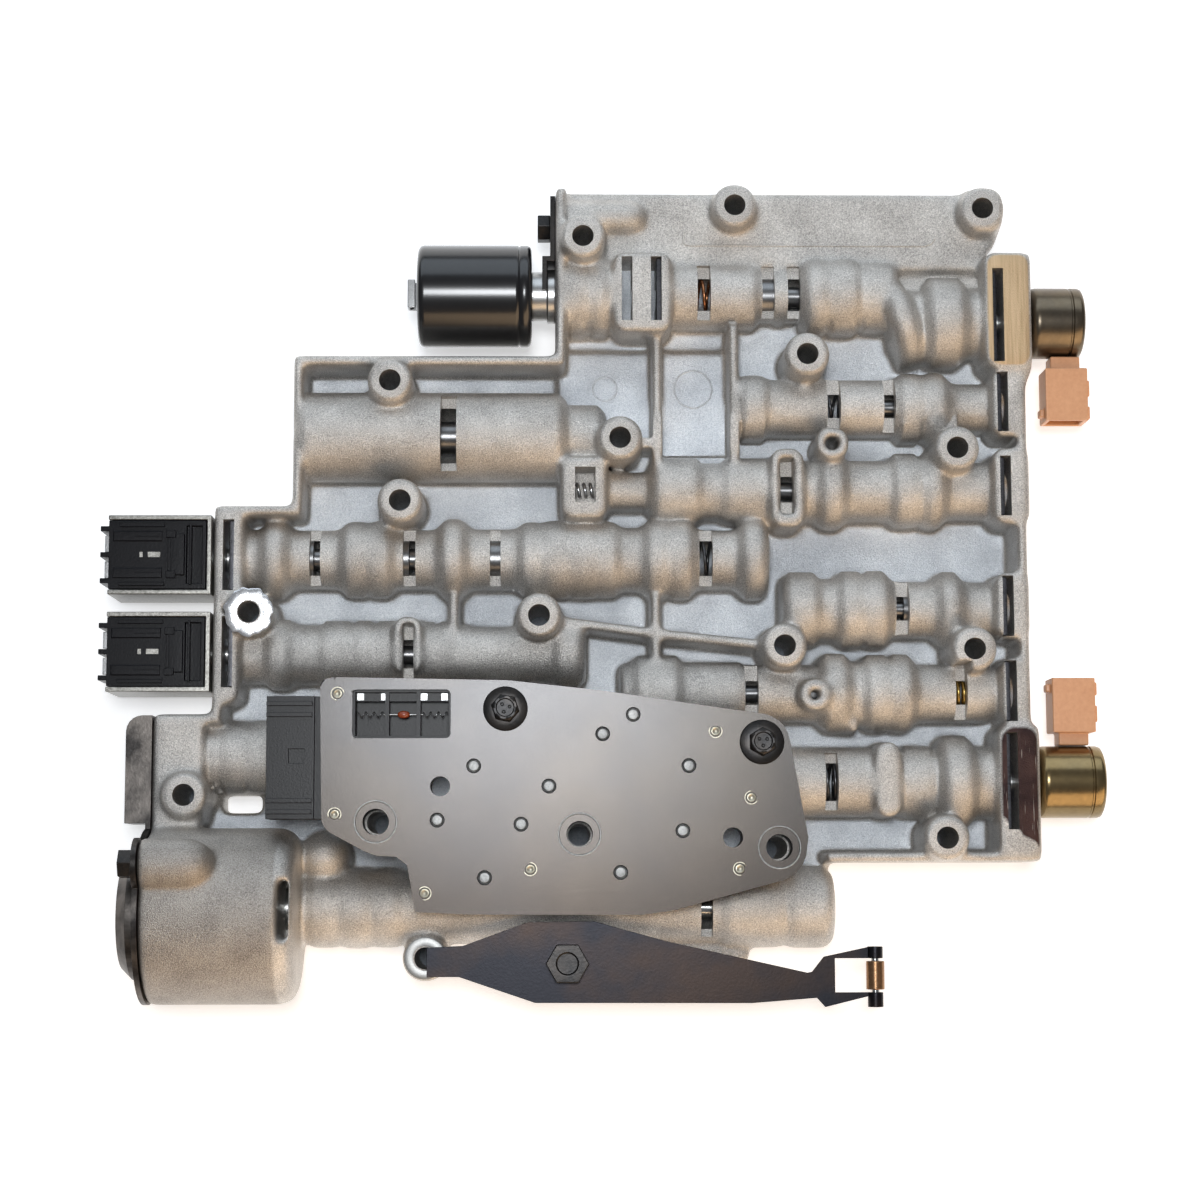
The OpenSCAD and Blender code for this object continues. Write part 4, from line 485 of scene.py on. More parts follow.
wave.inputs["Distance"].default_value = 0.0025
tree.links.new(sums(tree, "MULTIPLY", floor_mask, noise(tree, place, 42.0, 1.0)), wave.inputs["Height"])
tree.links.new(wave.outputs["Normal"], ridge.inputs["Normal"])
casting.data.materials.clear()
casting.data.materials.append(cast_metal)
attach(casting, "body")
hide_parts("valve_body_casting")


# ---- Worn bolt seat ------------------------------------------------------------
# The case bolt's washer has burred one boss, at the left between the two shift
# solenoids: a bright, ragged ring round its hole.
def mesh_piece(name, points, faces, material, body="body", smooth=35.0):
    """Object from an array of points in mm and faces, riding on a body."""
    mesh = bpy.data.meshes.new(name)
    mesh.from_pydata((np.asarray(points, float).reshape(-1, 3) / 1000).tolist(), [],
                     np.asarray(faces).tolist())
    mesh.validate()
    work = bmesh.new()
    work.from_mesh(mesh)
    bmesh.ops.remove_doubles(work, verts=work.verts, dist=1e-7)
    bmesh.ops.recalc_face_normals(work, faces=work.faces)
    work.to_mesh(mesh)
    work.free()
    mesh.shade_smooth()
    mesh.set_sharp_from_angle(angle=math.radians(smooth))
    mesh.materials.append(material)
    obj = bpy.data.objects.new(name, mesh)
    bpy.context.scene.collection.objects.link(obj)
    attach(obj, body)
    return obj


machined = finish("machined_aluminium", 0.3, 0.95, srgb(150, 150, 150), srgb(214, 214, 212),
                  scale=2600.0, contrast=0.5, bump=0.12)
bright_seat = finish("bright_seat", 0.25, 0.9, srgb(205, 208, 212), srgb(250, 250, 250),
                     scale=1600.0, contrast=0.9, bump=0.25)
burred = CASE_HOLES[7]
t = np.linspace(0, 2 * np.pi, 96, endpoint=False)
ragged = 0.22 * np.sin(7 * t) + 0.16 * np.sin(11 * t + 1.0) + 0.12 * np.sin(17 * t + 2.0)
profile = [(35.8, HOLE_RADIUS + 0.05), (37.05, HOLE_RADIUS + 0.3), (37.12, 5.2), (37.1, 7.0), (36.9, 7.5),
           (36.3, 7.45)]
ring = turned_points(profile, 96, "z", (0, 0, 0))
ring[2:, :, :2] *= (1 + ragged / 7.0)[None, :, None]
ring[..., :2] += burred
mesh_piece("burred_bolt_seat", ring, grid_faces(len(profile), 96, True, True), bright_seat)

# Clean spot-faced ring on the lowest boss, below the detent spring's end
spot_face = finish("spot_face", 0.42, 0.9, srgb(136, 136, 134), srgb(190, 190, 188), scale=2600.0,
                   contrast=0.6, bump=0.15)
profile = [(30.2, HOLE_RADIUS + 0.1), (30.56, HOLE_RADIUS + 0.3), (30.62, 3.9), (30.62, 6.1), (30.5, 6.4),
           (30.2, 6.4)]
ring = turned_points(profile, 64, "z", (*CASE_HOLES[17], 0))
mesh_piece("leaf_bolt_seat", ring, grid_faces(len(profile), 64, True, True), spot_face)

# Plain cast rings on two raised panels, and the fine step line on the flange
marks = []
for x, y, radius in ((21.0, 75.4, 3.8), (49.3, 75.4, 6.0)):
    profile = [(14.2, radius - 0.5), (14.75, radius - 0.3), (14.85, radius), (14.75, radius + 0.3),
               (14.2, radius + 0.5)]
    marks.append((turned_points(profile, 48, "z", (x, y, 0)), grid_faces(5, 48, True, True)))
line = np.array([[45.9, 124.6], [45.9, 121.0], [46.8, 120.2], [48.5, 120.0], [123.0, 120.0], [125.2, 120.7],
                 [126.4, 122.4]])
step = np.gradient(line, axis=0)
side = np.stack([-step[:, 1], step[:, 0]], 1) / np.linalg.norm(step, axis=1)[:, None]
rail = [np.c_[line + w * side, np.full(len(line), z)]
        for w, z in ((-0.55, 24.8), (-0.2, 25.22), (0.2, 25.22), (0.55, 24.8))]
marks.append((np.stack(rail), grid_faces(4, len(line), wrap_u=True)))
mesh_piece("cast_marks", *joined(marks), cast_metal)


# ---- Pressure switch ------------------------------------------------------------
# A satin steel plate riveted on a black glass-filled nylon housing, with a
# window over its terminals and a five-pin connector moulded at the left.
def softened(node, width, material, segments=2, angle=30.0, body="body", corners=()):
    """CAD node with its sharp edges eased by a small bevel, width in mm. Upright
    edges inside a corner box, (x0, y0, x1, y1, radius) in mm, are rounded first."""
    obj = merged_copy(node, node + "_eased")
    work = bmesh.new()
    work.from_mesh(obj.data)
    bmesh.ops.dissolve_limit(work, angle_limit=math.radians(1.0), verts=work.verts, edges=work.edges)
    for x0, y0, x1, y1, radius in corners:
        upright = [e for e in work.edges if len(e.link_faces) == 2 and e.calc_face_angle(0) > 0.35
                   and (e.verts[0].co - e.verts[1].co).xy.length < 1e-5
                   and x0 <= e.verts[0].co.x * 1000 <= x1 and y0 <= e.verts[0].co.y * 1000 <= y1]
        bmesh.ops.bevel(work, geom=upright, offset=radius / 1000, segments=5, profile=0.5, affect="EDGES",
                        clamp_overlap=True)
    work.to_mesh(obj.data)
    work.free()
    ease = obj.modifiers.new("ease", "BEVEL")
    ease.width = width / 1000
    ease.segments = segments
    ease.limit_method = "ANGLE"
    ease.angle_limit = math.radians(angle)
    ease.use_clamp_overlap = True
    obj.data.shade_smooth()
    flat = obj.modifiers.new("flat", "WEIGHTED_NORMAL")
    flat.weight = 100
    flat.keep_sharp = True
    mesh = evaluated_mesh(obj)
    obj.modifiers.clear()
    obj.data = mesh
    mesh.materials.clear()
    mesh.materials.append(material)
    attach(obj, body)
    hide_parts(node)
    return obj


def coloured(node, material):
    """CAD node kept as it is, in its own finish."""
    obj = frame["nodes"][node]
    obj.data.materials.clear()
    obj.data.materials.append(material)
    return obj


def clouded(material, low, high, scale, amount, seed_shift=0.0):
    """Large soft patches laid over a finish, such as stains or heat colour."""
    tree = material.node_tree
    shader = tree.nodes["Principled BSDF"]
    source = shader.inputs["Base Color"].links[0].from_socket
    shift = tree.nodes.new("ShaderNodeVectorMath")
    shift.inputs[1].default_value = (seed_shift, 0, 0)
    tree.links.new(tree.nodes["Texture Coordinate"].outputs["Object"], shift.inputs[0])
    patch = spread(tree, noise(tree, shift.outputs[0], scale, 4.0), 0.42, 0.62)
    tone = mixed(tree, patch, low, high)
    tree.links.new(mixed(tree, amount, source, tone), shader.inputs["Base Color"])
    return material


plate_steel = clouded(finish("switch_steel", 0.27, 0.85, srgb(55, 54, 53), srgb(76, 74, 72),
                             scale=1900.0, contrast=0.8, bump=0.08),
                      srgb(61, 61, 63), srgb(72, 68, 64), 14.0, 0.5)
tree = plate_steel.node_tree
shader = tree.nodes["Principled BSDF"]
where = tree.nodes.new("ShaderNodeSeparateXYZ")
tree.links.new(tree.nodes["Texture Coordinate"].outputs["Object"], where.inputs[0])
# painted sheen: the plate's colour is multiplied down to about 80 % towards its front (low y) and left full
# towards the back, in place of the top lamp's glare
painted_plate_sheen = mixed(tree, spread(tree, where.outputs["Y"], -0.088, -0.024), srgb(206, 196, 188),
              srgb(255, 255, 255))
tree.links.new(mixed(tree, 1.0, shader.inputs["Base Color"].links[0].from_socket, painted_plate_sheen, "MULTIPLY"),
               shader.inputs["Base Color"])
black_nylon = finish("black_nylon", 0.36, 0.0, srgb(6, 6, 8), srgb(18, 18, 22), scale=1500.0, contrast=0.7,
                     bump=0.25)
black_nylon.node_tree.nodes["Principled BSDF"].inputs["Specular IOR Level"].default_value = 0.28
softened("switch_plate", 0.3, plate_steel, segments=3, corners=[(-70, -24, -60, -18, 1.75),
                                                                (-58, -40, -25, -22, 1.5),
                                                                (-68, -68, -60, -62, 3.0),
                                                                (60, -100, 90, -25, 6.0)])
softened("switch_housing", 0.35, black_nylon)
coloured("switch_seals", finish("seal_rubber", 0.6, 0.0, srgb(14, 14, 14), srgb(34, 34, 34), bump=0.1))
tinned = finish("tinned_metal", 0.3, 0.9, srgb(130, 130, 130), srgb(196, 196, 196), contrast=0.6, bump=0.1)

# The window: pins of the connector kept as they are, contact tabs on a ledge, two
# walls between three cells, and a bead of the thermistor on its twisted wires
def helix_points(x0, x1, y, z, coil, wire, turns, sides=6):
    """Thin wire wound round a line along X: centre (x, y + coil*cos a, z + coil*sin a)."""
    a = np.linspace(0, 2 * np.pi * turns, int(turns * 16) + 2)
    line = np.stack([np.linspace(x0, x1, len(a)), y + coil * np.cos(a), z + coil * np.sin(a)], 1)
    s = np.linspace(0, 2 * np.pi, sides, endpoint=False)
    tube = line[:, None] + wire * np.stack([np.zeros(sides), np.cos(s), np.sin(s)], 1)[None]
    ends = [np.repeat(line[k][None, None], sides, 1) for k in (0, -1)]
    return np.concatenate([ends[0], tube, ends[1]]), grid_faces(len(a) + 2, sides, wrap_v=True)


pins = merged_copy("switch_terminals", "switch_pins")
work = bmesh.new()
work.from_mesh(pins.data)
bmesh.ops.delete(work, geom=[v for v in work.verts if v.co.x > -0.058], context="VERTS")
work.to_mesh(pins.data)
work.free()
pins.data.materials.clear()
pins.data.materials.append(tinned)
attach(pins, "body")
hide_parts("switch_terminals")
wires = [helix_points(-55.0, -47.0, -31.2, 44.0, 0.75, 0.24, 3.2),
         helix_points(-35.2, -27.6, -31.2, 44.0, 0.75, 0.24, 3.2),
         rod_shell("x", -47.0, -35.2, 0.22, (0, -31.2, 44.0), 12)]
wires += [box_shell(x - 0.95, -26.9, 44.6, x + 0.95, -24.9, 45.0) for x in (-54.0, -46.8, -34.8, -28.6)]
mesh_piece("switch_contacts", *joined(wires), tinned)
cells = [box_shell(x - 0.6, -38.2, 39.5, x + 0.6, -24.2, 46.6) for x in (-45.9, -36.4)]
cells.append(box_shell(-56.0, -27.2, 39.5, -26.8, -24.2, 44.6))
mesh_piece("switch_cells", *joined(cells), black_nylon)
bead_profile = [(-43.0 + 4.0 * k / 10, 1.15 * math.sqrt(max(0.0, 1 - (k / 5 - 1) ** 2))) for k in range(11)]
bead = mesh_piece("thermistor_bead", turned_points(bead_profile, 20, "x", (0, -31.2, 44.0)),
                  grid_faces(11, 20, wrap_v=True), finish("orange_bead", 0.25, 0.0, srgb(120, 48, 26),
                                                          srgb(176, 84, 50),
                                                           bump=0.05, coat=0.6), smooth=80)
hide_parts("switch_thermistor")
dark_steel = clouded(finish("dark_steel", 0.34, 0.75, srgb(26, 26, 27), srgb(58, 57, 57),
                            scale=1400.0, contrast=0.8, bump=0.2),
                     srgb(28, 28, 29), srgb(64, 58, 53), 160.0, 0.35)


def bolt_points(profile, axis, centre, phase=0.0, count=72):
    """Bolt head as turned rings: (along, radius, hexness), where hexness 1
    stretches a ring's radius by 1/cos(angle from the nearest flat)."""
    profile = np.asarray(profile, float)
    t = np.linspace(0, 2 * np.pi, count, endpoint=False) + phase
    hexagon = 1 / np.cos((t % (np.pi / 3)) - np.pi / 6)
    stretch = 1 + profile[:, 2:] * (hexagon - 1)
    return (turned_points(profile[:, :2], count, axis, centre, stretch),
            grid_faces(len(profile), count, wrap_v=True))


# Flanged hexagon bolts of the switch, with a hollow in the head and a rolled edge
low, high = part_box("switch_bolts")
PLATE_TOP, top = 48.0, high[2] * 1000
SWITCH_BOLTS = np.array([[-0.036, -0.117], [0.241, -0.157]]) * (BODY_LENGTH, BODY_WIDTH)
heads = []
for (x, y), phase in zip(SWITCH_BOLTS, (0.2, 0.5)):
    profile = [(low[2] * 1000, 0, 0), (low[2] * 1000, 2.4, 0), (PLATE_TOP, 2.4, 0), (PLATE_TOP, 6.6, 0),
               (PLATE_TOP + 0.4, 6.75, 0),
               (PLATE_TOP + 0.9, 6.5, 0), (PLATE_TOP + 1.3, 5.0, 0), (PLATE_TOP + 1.35, 3.8, 1),
               (top - 0.9, 3.75, 1),
               (top - 0.35, 3.75, 0.35), (top, 3.4, 0), (top, 2.85, 0), (top - 0.5, 2.5, 0),
               (top - 0.55, 0, 0)]
    heads.append(bolt_points(profile, "z", (x, y, 0), phase))
    for k in range(3):
        a = 2.1 * k + phase
        dimple = turned_points([(top - 0.6, 0.62), (top - 0.35, 0.5), (top - 0.4, 0.3), (top - 0.6, 0.2)],
                               16, "z",
                               (x + 1.35 * math.cos(a), y + 1.35 * math.sin(a), 0))
        heads.append((dimple, grid_faces(4, 16, True, True)))
switch_bolts = mesh_piece("switch_bolt_heads", *joined(heads), dark_steel, smooth=40)
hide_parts("switch_bolts")

# Sunk plug rivets with a dark groove round them, brass-toned small rivets with a
# staked ring open at one side, and formed rims round the bolt holes
plug_metal = finish("plug_metal", 0.42, 0.85, srgb(92, 92, 92), srgb(160, 160, 158), contrast=0.8, bump=0.2)
rivet_brass = finish("rivet_brass", 0.36, 0.8, srgb(138, 134, 120), srgb(206, 200, 182), contrast=0.8,
                     bump=0.2)
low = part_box("switch_rivets")[0][2] * 1000
PLUG_RIVETS = np.array([[-0.07, -0.185], [0.011, -0.209], [-0.109, -0.249], [-0.019, -0.254],
                        [-0.058, -0.317],
                        [0.102, -0.124], [0.069, -0.147], [0.162, -0.185], [0.155, -0.262], [0.088, -0.311]])
SMALL_RIVETS = np.array([[-0.217, -0.099], [-0.219, -0.242], [-0.122, -0.335], [-0.009, -0.307],
                         [0.191, -0.144], [0.229, -0.223], [0.216, -0.307]])
profile = [(low, 0), (low, 2.15), (47.7, 2.15), (47.0, 2.0), (46.9, 1.75), (47.8, 1.62), (48.05, 1.5),
           (48.1, 1.2), (48.05, 0)]
plugs = [(turned_points(profile, 24, "z", (x * BODY_LENGTH, y * BODY_WIDTH, 0)),
          grid_faces(9, 24, wrap_v=True))
         for x, y in PLUG_RIVETS]
plug_heads = mesh_piece("plug_rivets", *joined(plugs), plug_metal)
profile = [(low, 0), (low, 1.45), (48.0, 1.45), (48.3, 1.3), (48.34, 1.0), (48.1, 0.7), (48.05, 0)]
small = [(turned_points(profile, 20, "z", (x * BODY_LENGTH, y * BODY_WIDTH, 0)),
          grid_faces(7, 20, wrap_v=True))
         for x, y in SMALL_RIVETS]
for k, (x, y) in enumerate(SMALL_RIVETS):
    ring = turned_points([(47.95, 1.75), (48.22, 1.85), (48.22, 2.05), (47.95, 2.15)], 32, "z",
                         (x * BODY_LENGTH, y * BODY_WIDTH, 0))
    ring = np.roll(ring, 5 * k, 1)[:, :25]
    ring[:, 0], ring[:, -1] = ring[:, 0].mean(0), ring[:, -1].mean(0)
    small.append((ring, grid_faces(4, 25, wrap_u=True)))
small_heads = mesh_piece("small_rivets", *joined(small), rivet_brass)
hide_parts("switch_rivets")
rims = []
for x, y in CASE_HOLES[12:15]:
    profile = [(PLATE_TOP - 0.15, 6.0), (PLATE_TOP + 0.12, 6.2), (PLATE_TOP + 0.12, 6.45),
               (PLATE_TOP - 0.15, 6.7)]
    rims.append((turned_points(profile, 64, "z", (x, y, 0)), grid_faces(4, 64, True, True)))
mesh_piece("plate_rims", *joined(rims), plug_metal)


# ---- Pressure control solenoid ---------------------------------------------------
# A drawn steel can in glossy black paint, crimped over its end cap, with a bare
# nose in the first bore, a spade terminal and a stamped retainer at the wall.
gloss_black = finish("gloss_black", 0.3, 0.0, srgb(12, 12, 14), srgb(26, 26, 28), scale=300.0,
                     contrast=0.5, bump=0.04, coat=1.0)
gloss_black.node_tree.nodes["Principled BSDF"].inputs["Coat Roughness"].default_value = 0.2
gloss_black.node_tree.nodes["Principled BSDF"].inputs["Specular IOR Level"].default_value = 0.15
low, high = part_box("pressure_solenoid_can")
left, right_end = low[0] * 1000, high[0] * 1000
can_radius = (high[1] - low[1]) * 500
can_centre = (0, (low[1] + high[1]) * 500, BORE_AXIS)
profile = [(left, 0), (left, 6.4), (left + 0.5, 6.9), (left + 0.5, 12.6), (left, 13.2),
           (left, can_radius - 1.9),
           (left + 0.25, can_radius - 1.0), (left + 0.9, can_radius - 0.25), (left + 1.8, can_radius),
           (left + 2.4, can_radius), (right_end - 5.0, can_radius), (right_end - 4.4, can_radius),
           (right_end - 3.9, can_radius - 0.35), (right_end - 3.4, can_radius),
           (right_end - 1.4, can_radius), (right_end - 0.5, can_radius - 0.4), (right_end, can_radius - 1.5),
           (right_end, can_radius - 3.2), (right_end - 1.0, can_radius - 3.6), (right_end - 1.0, 8.6),
           (right_end, 8.2), (right_end, 0)]
can = mesh_piece("pressure_can", turned_points(profile, 96, "x", can_centre),
                 grid_faces(len(profile), 96, wrap_v=True), gloss_black, smooth=50)
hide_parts("pressure_solenoid_can")
softened("pressure_solenoid_terminal", 0.2, tinned)
softened("pressure_solenoid_nose", 0.3, machined)
softened("pressure_solenoid_bracket", 0.35, dark_steel)
softened("bracket_bolt", 0.35, dark_steel)


# ---- Shift solenoids --------------------------------------------------------------
# Two coils in black nylon, each in a bent steel strap with rounded corners, with
# locking prongs and flat terminals at the left end.
coil_nylon = finish("coil_nylon", 0.32, 0.0, srgb(5, 5, 8), srgb(17, 17, 22), scale=1500.0, contrast=0.7,
                    bump=0.2)
coil_nylon.node_tree.nodes["Principled BSDF"].inputs["Specular IOR Level"].default_value = 0.16
strap_steel = finish("strap_steel", 0.34, 0.9, srgb(96, 94, 90), srgb(168, 166, 160), scale=1300.0,
                     contrast=0.9, bump=0.15)
for letter, row in (("a", "f"), ("b", "g")):
    softened(f"shift_solenoid_{letter}_frame", 1.1, strap_steel, segments=4, angle=60)
    softened(f"shift_solenoid_{letter}_coil", 0.3, coil_nylon)
    softened(f"shift_solenoid_{letter}_nose", 0.25, machined)
    # moulded rails, windows and the core pin that show on top of the coil
    low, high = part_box(f"shift_solenoid_{letter}_coil")
    x0, x1 = low[0] * 1000 + 3, high[0] * 1000
    y, top = (low[1] + high[1]) * 500, 32.0
    bars = []
    for bx0, bx1, by0, by1, bz in (
            (x0 + 3, x0 + 17, 8.6, 9.8, 0.7), (x0 + 3, x0 + 17, -9.8, -8.6, 0.7),
            (x0 + 17.5, x0 + 20.5, 5.2, 7.4, 1.1), (x0 + 17.5, x0 + 20.5, -7.4, -5.2, 1.1),
            (x0 + 18, x0 + 19, -5.2, 5.2, 0.9), (x0 + 24.6, x0 + 25.4, -9.5, 9.5, 0.9),
            (x0 + 8, x0 + 16, 5.4, 5.9, 0.5), (x0 + 8, x0 + 16, -5.9, -5.4, 0.5)):
        corner = np.array([[bx0, by0], [bx1, by0], [bx1, by1], [bx0, by1]])
        ring = lambda z, inset: np.c_[corner + inset * np.sign(corner.mean(0) - corner), np.full(4, z)]
        stack = np.array([ring(top - 0.6, 0), ring(top + bz - 0.2, 0), ring(top + bz, 0.15)])
        stack = np.concatenate([stack[:1].mean(1, keepdims=True).repeat(4, 1), stack,
                                stack[-1:].mean(1, keepdims=True).repeat(4, 1)])
        stack[..., 1] += y
        bars.append((stack, grid_faces(5, 4, wrap_v=True)))
    mesh_piece(f"coil_rails_{letter}", *joined(bars), coil_nylon)
    marks = []
    for mx0, mx1 in ((x0 + 9.2, x0 + 10.2), (x0 + 11.8, x0 + 15.6)):
        corner = np.array([[mx0, y - 0.8], [mx1, y - 0.8], [mx1, y + 0.8], [mx0, y + 0.8]])
        stack = np.array([np.c_[corner, np.full(4, z)] for z in (top - 0.3, top + 0.25)])
        stack = np.concatenate([stack[:1].mean(1, keepdims=True).repeat(4, 1), stack,
                                stack[-1:].mean(1, keepdims=True).repeat(4, 1)])
        marks.append((stack, grid_faces(4, 4, wrap_v=True)))
    mesh_piece(f"coil_pins_{letter}", *joined(marks), strap_steel)
softened("shift_solenoid_terminals", 0.15, tinned)


# ---- Clutch and downshift solenoids -------------------------------------------------
# Small zinc-plated cans on the right-hand pads, one bright gold and one dull,
# each with a peach nylon connector that clips on beside it.
gold_zinc = clouded(finish("gold_zinc", 0.24, 0.95, srgb(112, 96, 68), srgb(156, 138, 102), scale=500.0,
                           contrast=0.5, bump=0.04), srgb(140, 118, 78), srgb(112, 98, 72), 60.0, 0.35)
dull_zinc = clouded(finish("dull_zinc", 0.3, 0.95, srgb(88, 79, 68), srgb(126, 116, 102), scale=500.0,
                           contrast=0.5, bump=0.05), srgb(110, 98, 78), srgb(74, 68, 60), 60.0, 0.45)
peach = finish("peach_nylon", 0.38, 0.0, srgb(204, 146, 106), srgb(228, 174, 132), scale=700.0,
               contrast=0.5, bump=0.12)
for kind, zinc in (("clutch", gold_zinc), ("downshift", dull_zinc)):
    low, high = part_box(f"{kind}_solenoid_can")
    left, end, radius = low[0] * 1000, high[0] * 1000, (high[1] - low[1]) * 500
    centre = (0, (low[1] + high[1]) * 500, BORE_AXIS)
    profile = [(left, 0), (left, radius - 2.2), (left + 0.4, radius - 0.9), (left + 1.2, radius - 0.25),
               (left + 2.2, radius), (left + 2.8, radius), (end - 5.2, radius), (end - 4.6, radius),
               (end - 4.3, radius - 0.4), (end - 3.9, radius - 0.4),
               (end - 3.6, radius), (end - 1.6, radius), (end - 0.6, radius - 0.3), (end - 0.1, radius - 1.2),
               (end, radius - 2.4), (end - 0.5, radius - 3.4), (end - 0.5, 3.4), (end - 0.1, 3.0),
               (end - 0.1, 0)]
    small_can = mesh_piece(f"{kind}_can", turned_points(profile, 72, "x", centre),
                           grid_faces(len(profile), 72, wrap_v=True), zinc, smooth=50)
    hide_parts(f"{kind}_solenoid_can")
    softened(f"{kind}_solenoid_connector", 0.5, peach, segments=3)
    softened(f"{kind}_solenoid_nose", 0.25, machined)


# ---- Valves, plugs and clips in the bores --------------------------------------------
# Hard-anodised spool valves slide in the bores; plugs close the open ends, and a
# dark spring steel clip in each slot holds a plug or a solenoid's nose.
anodised = finish("anodised_valve", 0.3, 0.9, srgb(84, 84, 86), srgb(150, 150, 150), scale=2200.0,
                  contrast=0.5, bump=0.06)
ground = finish("ground_steel", 0.2, 0.95, srgb(150, 150, 148), srgb(222, 222, 220), scale=2400.0,
                contrast=0.5, bump=0.06)
clip_steel = finish("clip_steel", 0.32, 0.85, srgb(36, 36, 38), srgb(84, 84, 88), scale=1500.0,
                    contrast=0.8, bump=0.15)
softened("retainer_clips", 0.2, clip_steel)
softened("bore_plugs", 0.4, machined)
for body, nodes in frame["record"]["behaviour"]["bodies"].items():
    if body.endswith("_valve") or body.startswith("shift_valve"):
        softened(body, 0.12, ground if body in ("manual_valve", "shuttle_valve") else anodised, body=body)


# ---- Valve springs -----------------------------------------------------------------------
# Cold-wound round wire with closed, ground ends; one behind each spool, plus the
# brass-coloured one at the overrun valve and the heavy one in the accumulator.
def spring_points(start, end, radius, wire, turns, centre, steps=26, sides=8):
    """Round wire wound on a helix: the point at angle t sits at
    x = start + pitch(t) and (cos t, sin t) * radius across it, where the
    pitch eases to nothing at both ends so that the end coils close."""
    t = np.linspace(0, 1, int(turns * steps) + 1)
    dead = 0.9 / turns
    rise = np.interp(t, [0, dead, 1 - dead, 1],
                     [0, 2.0 * wire / (end - start), 1 - 2.0 * wire / (end - start), 1])
    x = start + wire + (end - start - 2 * wire) * rise
    turn = 2 * np.pi * turns * t
    out = np.stack([np.zeros_like(t), np.cos(turn), np.sin(turn)], -1)
    line = np.stack([x, radius * out[:, 1], radius * out[:, 2]], -1) + centre
    s = np.linspace(0, 2 * np.pi, sides, endpoint=False)
    tube = (line[:, None] + wire * (np.cos(s)[None, :, None] * out[:, None]
                                    + np.sin(s)[None, :, None] * np.array([1.0, 0, 0])))
    ends = [np.repeat(line[k][None, None], sides, 1) for k in (0, -1)]
    return np.concatenate([ends[0], tube, ends[1]])


spring_wire = finish("spring_wire", 0.3, 0.9, srgb(52, 52, 54), srgb(118, 118, 120), scale=1500.0,
                     contrast=0.7, bump=0.1)
copper_wire = finish("copper_wire", 0.25, 0.95, srgb(150, 96, 62), srgb(206, 146, 106), scale=1500.0,
                     bump=0.1)
brass_wire = finish("brass_wire", 0.25, 0.95, srgb(176, 142, 72), srgb(236, 204, 124), scale=1500.0, bump=0.1)
silver_wire = finish("silver_wire", 0.25, 0.95, srgb(180, 180, 182), srgb(235, 235, 236), scale=1500.0,
                     bump=0.1)
SPRING_LOOKS = {"feed_limit_spring": copper_wire, "overrun_spring": brass_wire, "relay_spring": silver_wire}
SPRING_TURNS = {"feed_limit_spring": 9, "downshift_control_spring": 6, "sequence_spring": 10,
                "regulator_spring": 7, "relay_spring": 7, "shift_spring_a": 8, "shift_spring_b": 8,
                "downshift_spring": 8, "overrun_spring": 7, "clutch_apply_spring": 8,
                "accumulator_spring": 5.5}
for joint in frame["joints"]:
    for entry in joint.get("deforming_nodes") or []:
        node = entry["node"]
        low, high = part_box(node)
        x0, x1 = low[0] * 1000, high[0] * 1000
        outer = (high[2] - low[2]) * 500
        heavy = node == "accumulator_spring"
        wire = 1.3 if heavy else 0.55
        centre = np.array([0, (low[1] + high[1]) * 500, 28.0 if heavy else BORE_AXIS])
        points = spring_points(x0, x1, outer - wire, wire, SPRING_TURNS[node], centre)
        look = SPRING_LOOKS.get(node, spring_wire)
        coil = mesh_piece(node + "_coil", points, grid_faces(len(points), 8, wrap_v=True), look, smooth=60)
        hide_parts(node)
        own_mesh(coil)


# ---- Accumulator ---------------------------------------------------------------------------
# A cup piston with a rubber seal slides on a ground pin; a stamped steel cover, dark
# with light patches of painted reflection, closes the cylinder and the shuttle valve's bore.
cover_steel = clouded(finish("cover_steel", 0.36, 0.8, srgb(48, 46, 45), srgb(100, 97, 95), scale=900.0,
                             contrast=0.8, bump=0.2), srgb(28, 25, 24), srgb(108, 102, 97), 85.0, 0.7)
softened("accumulator_cover", 0.7, cover_steel, segments=3, corners=[(-140, -36, -122, -26, 5.0)])
softened("accumulator_cover_bolts", 0.3, dark_steel)
softened("accumulator_piston", 0.4, machined, body="accumulator_piston")
coloured("accumulator_seal", bpy.data.materials["seal_rubber"])
softened("accumulator_pin", 0.3, ground)


# ---- Detent spring ---------------------------------------------------------------------------
# A leaf of blued spring steel with brown heat patches, bolted on a cast lug; its
# forked tip curls round the pin of a bronze roller.
blued = clouded(finish("blued_steel", 0.34, 0.75, srgb(21, 21, 24), srgb(37, 37, 41), scale=1300.0,
                       contrast=0.8, bump=0.12), srgb(24, 25, 33), srgb(56, 41, 32), 30.0, 0.55, 0.31)
softened("detent_spring", 0.25, blued)
softened("detent_bolt", 0.4, dark_steel)
bronze = finish("bronze", 0.28, 0.9, srgb(120, 88, 60), srgb(176, 138, 104), scale=1200.0, contrast=0.7,
                bump=0.1)
softened("detent_roller", 0.25, bronze, body="detent_roller")
softened("detent_roller_pin", 0.2, ground)


# ---- Camera, lights and floor ---------------------------------------------------
# The photo looks almost straight down on the part, which lies on a white
# surface: cool light from above and behind, and a warm glow from the front.
camera_data = bpy.data.cameras.new("camera")
camera_data.sensor_width = 36
camera_data.lens = 73.5
camera_data.clip_end = 10
camera = bpy.data.objects.new("camera", camera_data)
bpy.context.scene.collection.objects.link(camera)
right, up, ahead = (0.99979, -0.002357, 0.020267), (0, 0.993305, 0.115524), (0.020404, 0.1155, -0.993098)
camera.matrix_world = Matrix((
    (right[0], up[0], -ahead[0], 0.0034), (right[1], up[1], -ahead[1], -0.0827),
    (right[2], up[2], -ahead[2], 0.7879), (0, 0, 0, 1)))
bpy.context.scene.camera = camera


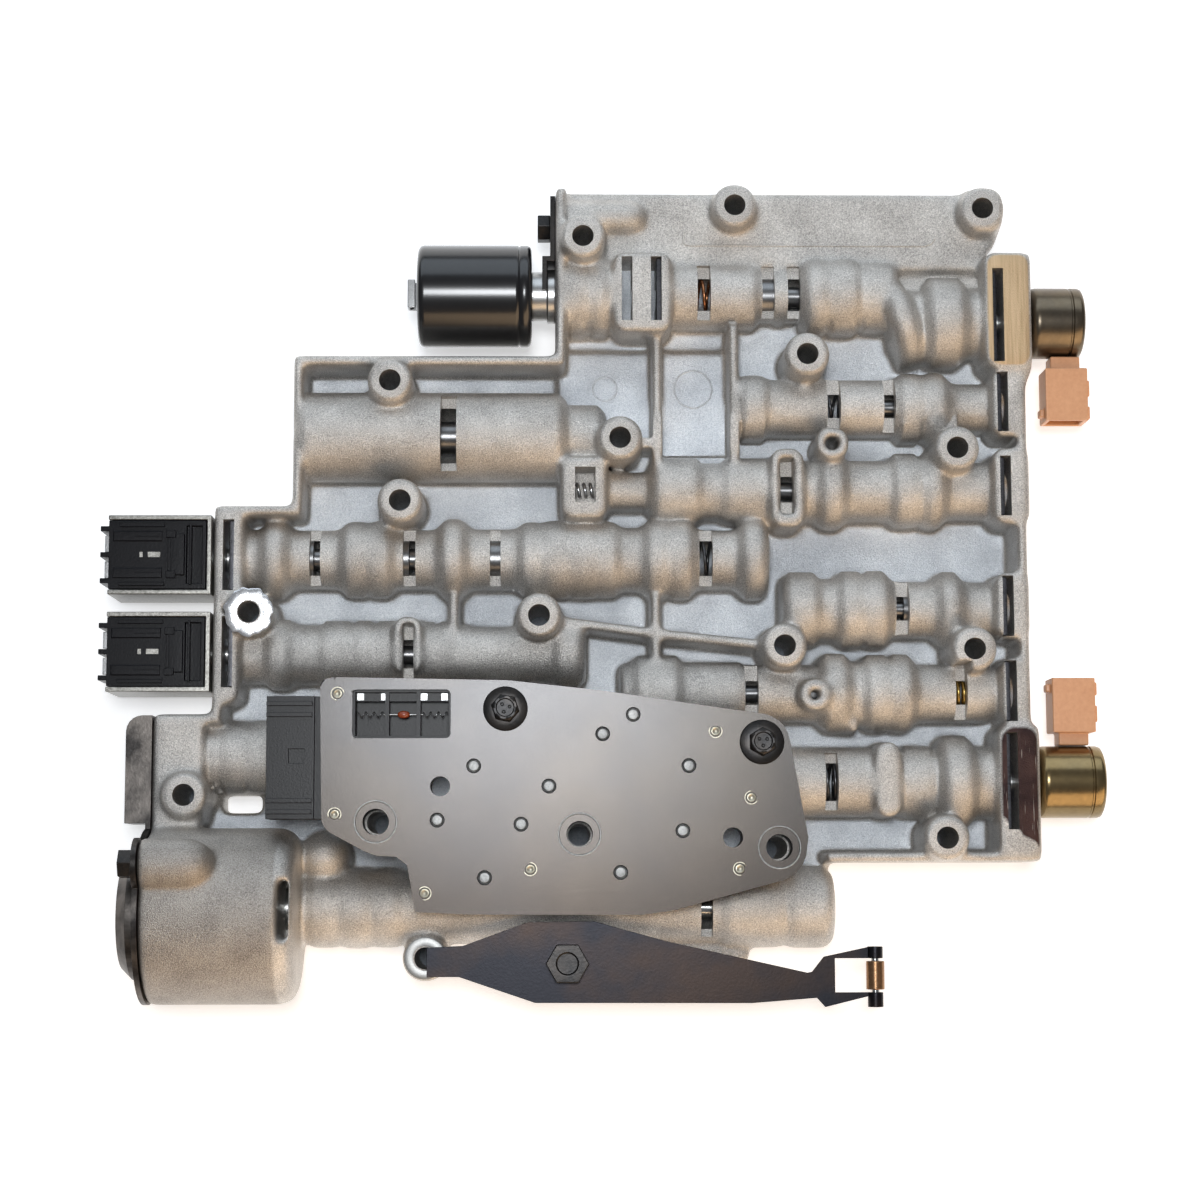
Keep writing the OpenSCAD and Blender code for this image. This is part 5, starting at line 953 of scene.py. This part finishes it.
def softbox(name, place, target, size, power, colour):
    light = bpy.data.lights.new(name, "AREA")
    light.shape = "RECTANGLE"
    light.size, light.size_y = size
    light.energy = power
    light.color = colour
    obj = bpy.data.objects.new(name, light)
    bpy.context.scene.collection.objects.link(obj)
    obj.location = place
    obj.rotation_euler = Vector(np.subtract(target, place)).to_track_quat("-Z", "Y").to_euler()
    return obj


softbox("top_light", (-0.012, 0.04, 1.2), (0, 0, 0), (0.24, 0.22), 5.7, (0.94, 0.97, 1.0))
softbox("front_glow", (0.6, -1.0, 0.6), (0.05, 0.03, 0), (1.6, 0.9), 11.0, (1.0, 0.7, 0.42))
softbox("back_light", (0.0, 1.2, 0.7), (0, 0, 0), (2.0, 1.0), 10.0, (0.8, 0.9, 1.0))
world = bpy.data.worlds.new("studio")
bpy.context.scene.world = world
world.use_nodes = True
world.node_tree.nodes["Background"].inputs["Color"].default_value = (0.9, 0.93, 1.0, 1)
world.node_tree.nodes["Background"].inputs["Strength"].default_value = 0.17

floor_mesh = bpy.data.meshes.new("floor")
floor_mesh.from_pydata([(-3, -3, -0.0005), (3, -3, -0.0005), (3, 3, -0.0005), (-3, 3, -0.0005)], [],
                       [(0, 1, 2, 3)])
floor = bpy.data.objects.new("floor", floor_mesh)
bpy.context.scene.collection.objects.link(floor)
floor_paint = bpy.data.materials.new("floor_paint")
floor_paint.use_nodes = True
floor_shader = floor_paint.node_tree.nodes["Principled BSDF"]
floor_shader.inputs["Base Color"].default_value = (0.9, 0.9, 0.9, 1)
floor_shader.inputs["Roughness"].default_value = 0.9
floor_shader.inputs["Emission Color"].default_value = (1, 1, 1, 1)
floor_shader.inputs["Emission Strength"].default_value = 0.5
floor_mesh.materials.append(floor_paint)

# Shade on the floor under each case bolt hole, so that the holes read dark
discs = [(turned_points([(-0.3, 0), (-0.3, 5.6)], 24, "z", (x, y, 0)), grid_faces(2, 24, wrap_v=True))
         for x, y in CASE_HOLES]
points, faces = joined(discs)
shade_mesh = bpy.data.meshes.new("hole_shade")
shade_mesh.from_pydata((points / 1000).tolist(), [], faces.tolist())
shade = bpy.data.objects.new("hole_shade", shade_mesh)
bpy.context.scene.collection.objects.link(shade)
shade_mesh.materials.append(finish("hole_shade", 0.7, 0.0, srgb(112, 118, 126), srgb(150, 156, 164)))
bpy.context.scene.view_settings.view_transform = "Standard"
